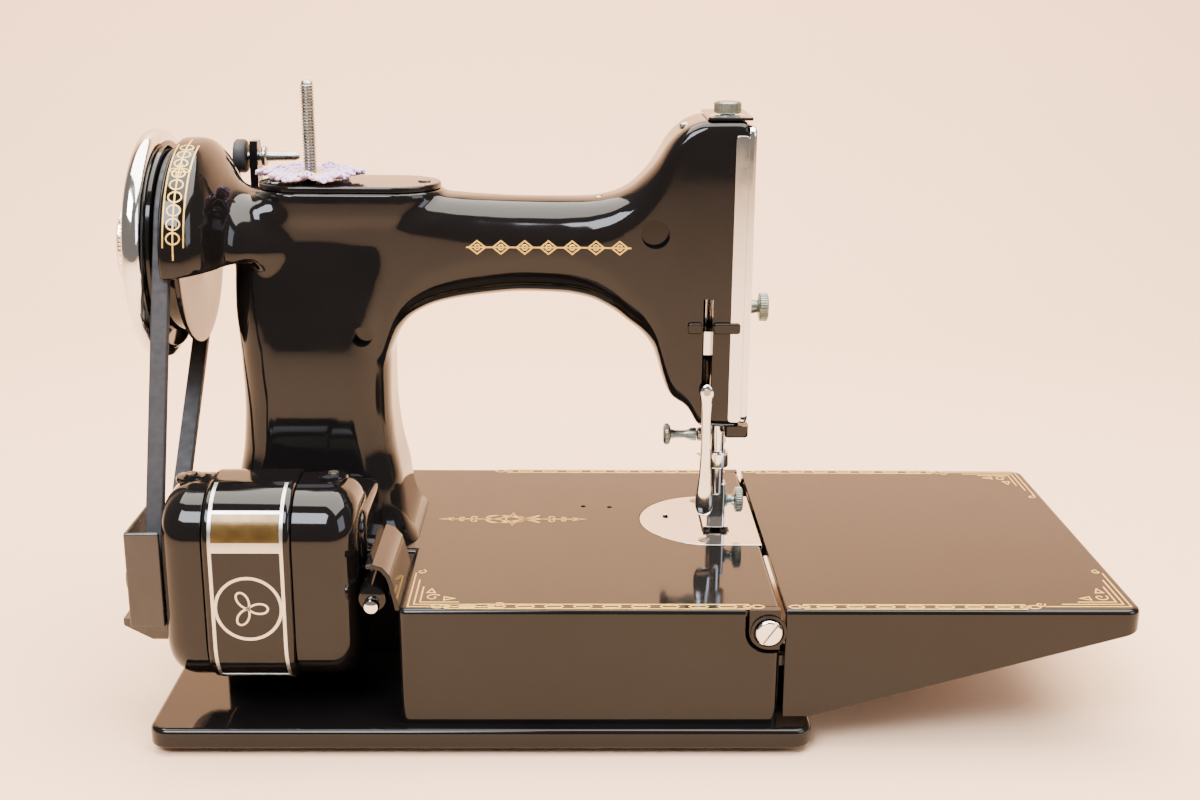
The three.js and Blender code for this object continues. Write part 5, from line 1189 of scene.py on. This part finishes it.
def build_motor():
    left, right = MOTOR_X
    for side, ends in (("left", (left, MOTOR_BAND[0] - 0.3)), ("right", (MOTOR_BAND[1] + 0.3, right))):
        outer, inner = (ends[0], ends[1]) if side == "left" else (ends[1], ends[0])
        depth = 11.0
        rings = []
        for k in range(15):
            a = k / 14 * math.pi / 2
            x = outer + (depth * (1 - math.sin(a))) * (1 if side == "left" else -1)
            rings.append(motor_ring(x, -depth * (1 - math.cos(a)) * 0.95))
        rings = [motor_ring(inner, 0.0)] + rings
        cap = loft("motor_cap_%s_cast" % side, rings)
        hollow = rod("hollow", "x", (MOTOR_Y, MOTOR_Z), 18.5, *sorted((inner + (1 if side == "left" else -1), outer
                     + (5 if side == "left" else -5))))
        cut(cap, hollow, rod("shaft_hole", "x", (MOTOR_Y, MOTOR_Z), 3.3, left - 5, right + 5))
        soften(cap, 0.6, 3, 45)
        dress(cap, "enamel", "root", "motor_cap_" + side, smooth=40)
    low, high = MOTOR_BAND
    levels = [(low, -0.6), (low + 0.3, 0.4), (low + 1, 1.1), (low + 2, 1.2), (high - 2, 1.2), (high - 1, 1.1),
              (high - 0.3, 0.4), (high, -0.6)]
    band = loft("motor_band", [motor_ring(x, g) for x, g in levels])
    cut(band, rod("bore", "x", (MOTOR_Y, MOTOR_Z), 18.5, 10, 70))
    dress(band, "enamel", "root", "motor_housing", smooth=40)
    for k, x in enumerate((27.4, 54.6)):
        band_strip("label_edge_%d" % (k + 1), x, 1.3, 0.08, 0.97, 0.05, "silver")
    band_strip("label_panel", LABEL_X, 25.4, 0.713, 0.817, 0.02, "lacquer")
    for k, (low, high) in enumerate(((0.675, 0.713), (0.817, 0.83), (0.135, 0.155))):
        band_strip("label_bar_%d" % (k + 1), LABEL_X, 26.4, low, high, 0.1, "silver")
    face_y = MOTOR_Y - MOTOR_HALF_DEPTH - BAND_PROUD
    out = Vector((0, -1, 0))
    marks = (("label_ring", 64, 1.2, lambda a: 12.6),
             ("label_motif", 96, 0.8, lambda a: (2.6 + 2.4 * math.cos(3 * a)) * 1.5))
    for name, steps, width, reach in marks:
        line = []
        for a in [2 * math.pi * k / steps for k in range(steps)]:
            at = point(LABEL_X + reach(a) * math.cos(a), face_y - 0.05, LABEL_Z + reach(a) * math.sin(a))
            line.append((at, out))
        dress(ribbon(name, [(line, True)], width, 0.12), "silver", "root")
    pulley = lathe("motor_pulley_turned", "x", (MOTOR_Y, MOTOR_Z), [
        (3.3, -5.2), (10.8, -5.2), (13.6, -3.6), (13.9, -2.6), (9.4, -2.2), (9.4, 5.2), (12.6, 5.6), (12.8, 6.1),
        (3.3, 6.2)], 72)
    dress(pulley, "steel", "motor_rotor", "motor_pulley")
    guard = from_cad("belt_guard", "belt_guard_moulded", 1.1)
    dress(guard, "moulding", "root", "belt_guard")
    hub = lathe("belt_guard_boss", "x", (MOTOR_Y + 2, MOTOR_Z - 2), [
        (4, -9.6), (6.8, -9.6), (6.8, -11.2), (6.2, -12), (4, -12)], 48)
    dress(hub, "moulding", "root")
    inlet = from_cad("power_inlet", "power_inlet_moulded", 0.7)
    dress(inlet, "moulding", "root", "power_inlet")


def build_motor_bracket():
    """The bracket that carries the motor on the pillar, with its fixing stud, oil caps and lip."""
    web = slab("motor_bracket", "x", (MOTOR_Y - 6, 78), (60, 90), 9, 62, 84, 3, 3)
    dress(web, "enamel", "root")
    boss = lathe("stud_boss", "y", (88, 62), [(0, 9.5), (3.6, 9.5), (5.2, 10.4), (5.6, 12), (5.8, 30), (0, 30)], 48)
    dress(boss, "enamel", "root")
    stud = lathe("stud_end", "y", (88, 60.5), [
        (0, 5.2), (1.5, 5.2), (2.6, 5.7), (3.1, 6.8), (3.1, 9.2), (0, 9.6)], 40)
    dress(stud, "chrome", "root")
    outline = [(99, 58.6), (98.6, 61), (97.6, 64.5), (96.6, 69), (95.4, 73), (92.6, 76.4), (89, 77.6), (86.2, 77.2),
               (86.4, 75.6), (89, 75.8), (91.8, 74.8), (93.8, 72.2), (95, 68.6), (96, 64), (96.8, 60), (97, 58.6)]
    lip = extruded("bed_lip", "y", outline, 7, 51)
    soften(lip, 0.3, 2, 50)
    dress(lip, "enamel", "root")
    for name, x, z in (("oil_cap_right", 71, 103.2), ("oil_cap_left", 15, 102.6)):
        cap = lathe(name, "z", (x, MOTOR_Y + 2), [
            (0, z - 6), (4.2, z - 6), (4.8, z - 1.2), (5.6, z - 0.8), (5.8, z + 0.2), (5.4, z + 1.2), (3.4, z + 1.7),
            (0, z + 1.8)], 48)
        dress(cap, "enamel", "root")
    screws("motor_top_screws", "+z", [(71, MOTOR_Y + 2, 105.2), (15, MOTOR_Y + 2, 104.6)], 2, 0.6, "root")


# ---------------------------------------------------------------- gold transfers


UP = Vector((0, 0, 1))


def on_bed(line):
    return [(point(x, y, BED_TOP), UP) for x, y in line]


def ring_of(cx, cy, rx, ry, steps=20, start=0.0, sweep=2 * math.pi):
    return [(cx + rx * math.cos(start + sweep * k / steps), cy + ry * math.sin(start + sweep * k / steps))
            for k in range(steps + (0 if abs(sweep - 2 * math.pi) < 1e-6 else 1))]


def chain_border(x0, x1, y, half=2.1):
    """A narrow band: two rules with long links between them, ending in loops."""
    lines = [([(x0 + 3, y - half), (x1 - 3, y - half)], False), ([(x0 + 3, y + half), (x1 - 3, y + half)], False)]
    links = max(2, int((x1 - x0 - 12) / 11))
    pitch = (x1 - x0 - 12) / links
    for k in range(links):
        cx = x0 + 6 + pitch * (k + 0.5)
        lines.append(([(cx - 3.6, y), (cx - 2.6, y + half * 0.52), (cx + 2.6, y + half * 0.52), (cx + 3.6, y),
                       (cx + 2.6, y - half * 0.52), (cx - 2.6, y - half * 0.52)], True))
    for x in (x0, x1):
        lines.append((ring_of(x, y, 2.6, 1.5), True))
        lines.append((ring_of(x + (3.4 if x == x0 else -3.4), y, 2.0, 1.0), True))
    return lines


def spiral(cx, cy, r, turn, hand):
    """A scroll winding in from radius r, one way or the other by the sign of hand."""
    line = []
    for k in range(22):
        angle, reach = turn + hand * k * 0.32, r * (1 - k / 26)
        line.append((cx + reach * math.cos(angle), cy + reach * math.sin(angle)))
    return line


def corner_ornament(x, y, dx, dy, size=26):
    """Nested right angles with scrolls, growing from a corner in the directions dx and dy."""
    lines = []
    for k, reach in enumerate((size, size - 7, size - 14)):
        inset = 2.2 * k
        lines.append(([(x + dx * (inset + 0.5), y + dy * reach), (x + dx * (inset + 0.5), y + dy * (inset + 0.5)),
                       (x + dx * reach, y + dy * (inset + 0.5))], False))
    lines.append((spiral(x + dx * 9.5, y + dy * 9.5, 3.1, 0.6, dx * dy), False))
    lines.append((spiral(x + dx * 2.4, y + dy * (size + 1.6), 2.1, 1.2, -dx * dy), False))
    lines.append((spiral(x + dx * (size + 1.6), y + dy * 2.4, 2.1, 0.4, dx * dy), False))
    lines.append(([(x + dx * 14, y + dy * 6.8), (x + dx * 18, y + dy * 8.4), (x + dx * 14, y + dy * 10)], True))
    lines.append(([(x + dx * 6.8, y + dy * 14), (x + dx * 8.4, y + dy * 18), (x + dx * 10, y + dy * 14)], True))
    return lines


def rosette(cx, cy):
    """An interlaced knot between two long arms that end in darts."""
    knot = [(cx + 9.4 * math.cos(t) + 3.6 * math.cos(3 * t), cy + 5.4 * math.sin(t) - 2.6 * math.sin(3 * t))
            for t in [2 * math.pi * k / 120 for k in range(120)]]
    weave = [(cx + 12 * math.sin(2 * t + 0.4), cy + 4.6 * math.sin(3 * t))
             for t in [2 * math.pi * k / 140 for k in range(140)]]
    lines = [(knot, True), (weave, True), (ring_of(cx, cy, 3.1, 3.1), True), (ring_of(cx, cy, 5.6, 4.0, 28), True)]
    for s in (-1, 1):
        lines.append(([(cx + s * 12, cy), (cx + s * 27, cy)], False))
        lines.append((spiral(cx + s * 17, cy + 2.1, 2.0, -1.6, s), False))
        lines.append((spiral(cx + s * 17, cy - 2.1, 2.0, 1.6, -s), False))
        lines.append((spiral(cx + s * 22.5, cy + 1.5, 1.4, -1.6, s), False))
        lines.append((spiral(cx + s * 22.5, cy - 1.5, 1.4, 1.6, -s), False))
        dart = [(27, 1.6), (32.4, 0), (27, -1.6), (28.6, 0)]
        lines.append(([(cx + s * u, cy + v) for u, v in dart], True))
    return lines


def build_decoration(arm):
    near, far = BED_Y[0] + 3.4, BED_Y[1] - 3.4
    width = sizes().gold_line * 1000
    bed = chain_border(113, 237, near) + chain_border(130, 237, far)
    bed += corner_ornament(BED_X[0] + 3, BED_Y[0] + 2.6, 1, 1, 34) + rosette(138.4, ARM_Y)
    lines = [(on_bed(line), closed) for line, closed in bed]
    dress(ribbon("bed_transfer", lines, width), "gold", "root", smooth=180)
    leaf = chain_border(LEAF_X[0] + 4, LEAF_X[1] - 42, near) + chain_border(LEAF_X[0] + 4, LEAF_X[1] - 42, far)
    leaf += corner_ornament(LEAF_X[1] - 3.4, BED_Y[0] + 3.4, -1, 1, 34)
    leaf += corner_ornament(LEAF_X[1] - 3.4, BED_Y[1] - 3.4, -1, -1, 34)
    lines = [(on_bed(line), closed) for line, closed in leaf]
    dress(ribbon("leaf_transfer", lines, width), "gold", "leaf", smooth=180)
    # On the arm the pattern is drawn flat and dropped on to the casting.
    def dropped(start, direction):
        hit, where, normal, _ = arm.ray_cast(start, direction)
        if not hit:
            raise RuntimeError("a transfer misses the casting")
        return where, normal
    def motif_line(x, z):
        return dropped(point(x, ARM_Y - 60, z), Vector((0, 1, 0)))
    arm_lines = []
    row = [([(121, 186.2), (189, 186.2)], False)]
    for k in range(7):
        cx = 125.5 + 9.8 * k
        row.append(([(cx - 3.4, 186.2), (cx, 188.9), (cx + 3.4, 186.2), (cx, 183.5)], True))
        row.append((ring_of(cx, 186.2, 1.1, 1.1, 12), True))
    for line, closed in row:
        fine = []
        for i in range(len(line) if closed else len(line) - 1):
            (xa, za), (xb, zb) = line[i], line[(i + 1) % len(line)]
            count = max(1, int(math.hypot(xb - xa, zb - za) / 2))
            fine += [motif_line(xa + (xb - xa) * t / count, za + (zb - za) * t / count) for t in range(count)]
        if not closed:
            fine.append(motif_line(*line[-1]))
        arm_lines.append((fine, closed))
    # Round the hood the pattern runs up from its lower edge, angle 0 being level with the shaft.
    def hood_spot(x, angle):
        out = Vector((0, -HOOD_SPREAD * math.cos(angle), math.sin(angle)))
        return dropped(point(x, ARM_Y, SHAFT_Z) + out * 0.07, -out)
    for x in (4.2, 12.2):
        arm_lines.append(([hood_spot(x, 0.16 + 1.16 * k / 40) for k in range(41)], False))
    arm_lines.append(([hood_spot(8.2, 0.05 + 1.4 * k / 48) for k in range(49)], False))
    for k in range(9):
        a = 0.24 + 1.0 * k / 8
        arm_lines.append(([hood_spot(8.2 + 2.6 * math.cos(t), a + 0.05 * math.sin(t))
                           for t in [2 * math.pi * i / 16 for i in range(16)]], True))
    flower = [(8.2 + (2.4 + 1.4 * math.cos(4 * t)) * math.cos(t),
               0.9 + (0.055 + 0.03 * math.cos(4 * t)) * math.sin(t))
              for t in [2 * math.pi * i / 48 for i in range(48)]]
    arm_lines.append(([hood_spot(x, a) for x, a in flower], True))
    dress(ribbon("arm_transfer", arm_lines, width), "gold", "root", smooth=180)


# ---------------------------------------------------------------- inner works


def build_works():
    """The CAD pieces that stay as they are, each with the finish of its kind."""
    steel = ["drip_pan_screw", "arm_shaft", "arm_shaft_gear", "vertical_shaft", "vertical_upper_gear",
             "vertical_lower_gear", "hook_shaft", "hook_shaft_gear", "bobbin", "motor_rotor"]
    chrome = ["rotating_hook", "bobbin_case"]
    for kind, nodes in (("steel", steel), ("chrome", chrome)):
        for name in nodes:
            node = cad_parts[name]
            node.data.materials.clear()
            node.data.materials.append(finish(kind))
    felt = slab("oil_felt", "z", (60, 236), (30, 160), 4, 5.7, 7.0, 0.4, 0.4)
    cut(felt, rod("post_gap", "z", (150, 86), 9, 0, 20))
    dress(felt, "felt", "root")


# ---------------------------------------------------------------- stage


def build_stage():
    scene = bpy.context.scene
    half_width, front, depth, height, bend = 2.0, -1.6, 0.62, 1.5, 0.35
    section = [(front, 0.0)] + [(depth + bend * math.sin(a), bend * (1 - math.cos(a)))
                               for a in [k / 16 * math.pi / 2 for k in range(17)]] + [(depth + bend, height)]
    vertices = [(x, y, z) for x in (-half_width, half_width) for y, z in section]
    count = len(section)
    faces = [(i, i + 1, count + i + 1, count + i) for i in range(count - 1)]
    mesh = bpy.data.meshes.new("sweep")
    mesh.from_pydata(vertices, [], faces)
    sweep = bpy.data.objects.new("sweep", mesh)
    scene.collection.objects.link(sweep)
    mesh.materials.append(finish("backdrop"))
    mesh.shade_smooth()
    world = bpy.data.worlds.new("studio")
    scene.world = world
    world.use_nodes = True
    world.node_tree.nodes["Background"].inputs[0].default_value = hex_colour("#fff1e4")
    world.node_tree.nodes["Background"].inputs[1].default_value = sizes().room_light
    lamps = [("key", (-0.55, -1.0, 1.25), (0.0, 0.0, 0.1), 0.9, 0.6, 48, "#f2f4ff"),
             ("top", (0.1, 0.1, 1.3), (0.05, 0.0, 0.1), 1.9, 1.2, 95, "#fff6ea"),
             ("fill", (1.1, -0.7, 0.7), (0.0, 0.0, 0.1), 0.7, 0.7, 10, "#e6ecff")]
    for name, at, towards, width, height, power, tint in lamps:
        data = bpy.data.lights.new(name, "AREA")
        data.shape = "RECTANGLE"
        data.size, data.size_y = width, height
        data.energy = power
        data.color = hex_colour(tint)[:3]
        lamp = bpy.data.objects.new(name, data)
        scene.collection.objects.link(lamp)
        lamp.location = at
        lamp.rotation_euler = (Vector(towards) - Vector(at)).to_track_quat("-Z", "Y").to_euler()
    data = bpy.data.cameras.new("camera")
    data.sensor_width = 36
    data.lens = sizes().lens * 1000
    camera = bpy.data.objects.new("camera", data)
    scene.collection.objects.link(camera)
    pitch, yaw, roll = 0.27811, 0.017165, 0.0083003
    camera.matrix_world = (Matrix.Translation(point(166.18, -525.01, 295.15)) @ Matrix.Rotation(-yaw, 4, "Z")
                           @ Matrix.Rotation(math.pi / 2 - pitch, 4, "X") @ Matrix.Rotation(roll, 4, "Z"))
    scene.camera = camera


# ---------------------------------------------------------------- add-on


def length(name, description, default):
    return FloatProperty(name=name, description=description, default=default, min=0.0, unit="LENGTH")


def colour(name, description, default):
    return FloatVectorProperty(name=name, description=description, default=hex_colour(default), size=4, min=0.0,
                               max=1.0, subtype="COLOR")


class SewingSizes(bpy.types.PropertyGroup):
    bed_edge: length("Bed edge", "Radius along the top edges of the bed and leaf", 0.0022)
    spool_pin_height: length("Spool pin", "Height of the wound spool pin", 0.046)
    gold_line: length("Gold line", "Width of the lines in the gold transfers", 0.0006)
    lens: length("Lens", "Focal length of the camera", 0.044853)
    room_light: FloatProperty(name="Room light", description="Strength of the light from all round", default=0.28)


class SewingColours(bpy.types.PropertyGroup):
    enamel: colour("Enamel", "Black stoving enamel", "#070606")
    gold: colour("Gold", "Bronze-powder transfers", "#f3cf6e")
    chrome: colour("Chrome", "Chromium plate", "#d6d6d3")
    steel: colour("Steel", "Turned and nickelled steel", "#84827c")
    rubber: colour("Rubber", "Belt and feet", "#131416")
    cotton: colour("Cotton", "Crochet yarn of the mat's petals", "#c29ccb")
    backdrop: colour("Backdrop", "Paper under and behind the machine", "#f8cfa8")


class Builder(bpy.types.Operator):
    bl_options = {"REGISTER"}


class SEWING_OT_stage(Builder):
    """Sets up the backdrop, the lights and the camera"""
    bl_idname = "sewing.stage"
    bl_label = "Stage"

    def execute(self, context):
        build_stage()
        return {"FINISHED"}


class SEWING_OT_bed(Builder):
    """Builds the bed and base, the folding leaf, its hinges and the rubber feet"""
    bl_idname = "sewing.bed"
    bl_label = "Bed and leaf"

    def execute(self, context):
        build_bed()
        build_leaf()
        build_hinges()
        build_feet()
        return {"FINISHED"}


class SEWING_OT_arm(Builder):
    """Builds the arm casting, its gold transfers and the fittings on it"""
    bl_idname = "sewing.arm"
    bl_label = "Arm"

    def execute(self, context):
        arm = build_arm()
        build_decoration(arm)
        build_arm_fittings()
        return {"FINISHED"}


class SEWING_OT_mat(Builder):
    """Builds the crocheted mat under the spool"""
    bl_idname = "sewing.mat"
    bl_label = "Spool mat"

    def execute(self, context):
        build_mat()
        return {"FINISHED"}


class SEWING_OT_head(Builder):
    """Builds the face plate, bars, needle, presser foot, lifter and throat plate"""
    bl_idname = "sewing.head"
    bl_label = "Needle head"

    def execute(self, context):
        build_head()
        build_lifter()
        build_bars()
        build_throat()
        return {"FINISHED"}


class SEWING_OT_front(Builder):
    """Builds the tension, take-up, stitch lever, lamp and switch"""
    bl_idname = "sewing.front"
    bl_label = "Operator's side"

    def execute(self, context):
        build_front()
        return {"FINISHED"}


class SEWING_OT_drive(Builder):
    """Builds the handwheel, belt, motor and motor bracket"""
    bl_idname = "sewing.drive"
    bl_label = "Wheel, belt and motor"

    def execute(self, context):
        build_wheel()
        build_belt()
        build_motor()
        build_motor_bracket()
        return {"FINISHED"}


class SEWING_OT_works(Builder):
    """Finishes the inner shafts, gears, hook and bobbin, and lays the oil felt"""
    bl_idname = "sewing.works"
    bl_label = "Inner works"

    def execute(self, context):
        build_works()
        return {"FINISHED"}


OPERATORS = (SEWING_OT_stage, SEWING_OT_bed, SEWING_OT_arm, SEWING_OT_mat, SEWING_OT_head, SEWING_OT_front,
             SEWING_OT_drive, SEWING_OT_works)


class SEWING_PT_panel(bpy.types.Panel):
    """Lists the builders and their sizes and colours"""
    bl_idname = "SEWING_PT_panel"
    bl_label = "Sewing machine"
    bl_space_type = "VIEW_3D"
    bl_region_type = "UI"
    bl_category = "Sewing machine"

    def draw(self, context):
        for group in (context.scene.sewing_sizes, context.scene.sewing_colours):
            for key in group.bl_rna.properties.keys():
                if key not in ("rna_type", "name"):
                    self.layout.prop(group, key)
        for operator in OPERATORS:
            self.layout.operator(operator.bl_idname)


CLASSES = (SewingSizes, SewingColours, *OPERATORS, SEWING_PT_panel)


def register():
    for made in CLASSES:
        bpy.utils.register_class(made)
    bpy.types.Scene.sewing_sizes = PointerProperty(type=SewingSizes)
    bpy.types.Scene.sewing_colours = PointerProperty(type=SewingColours)


def unregister():
    del bpy.types.Scene.sewing_colours
    del bpy.types.Scene.sewing_sizes
    for made in reversed(CLASSES):
        bpy.utils.unregister_class(made)


def main():
    register()
    for operator in OPERATORS:
        group, name = operator.bl_idname.split(".")
        getattr(getattr(bpy.ops, group), name)()


if __name__ == "__main__":
    main()
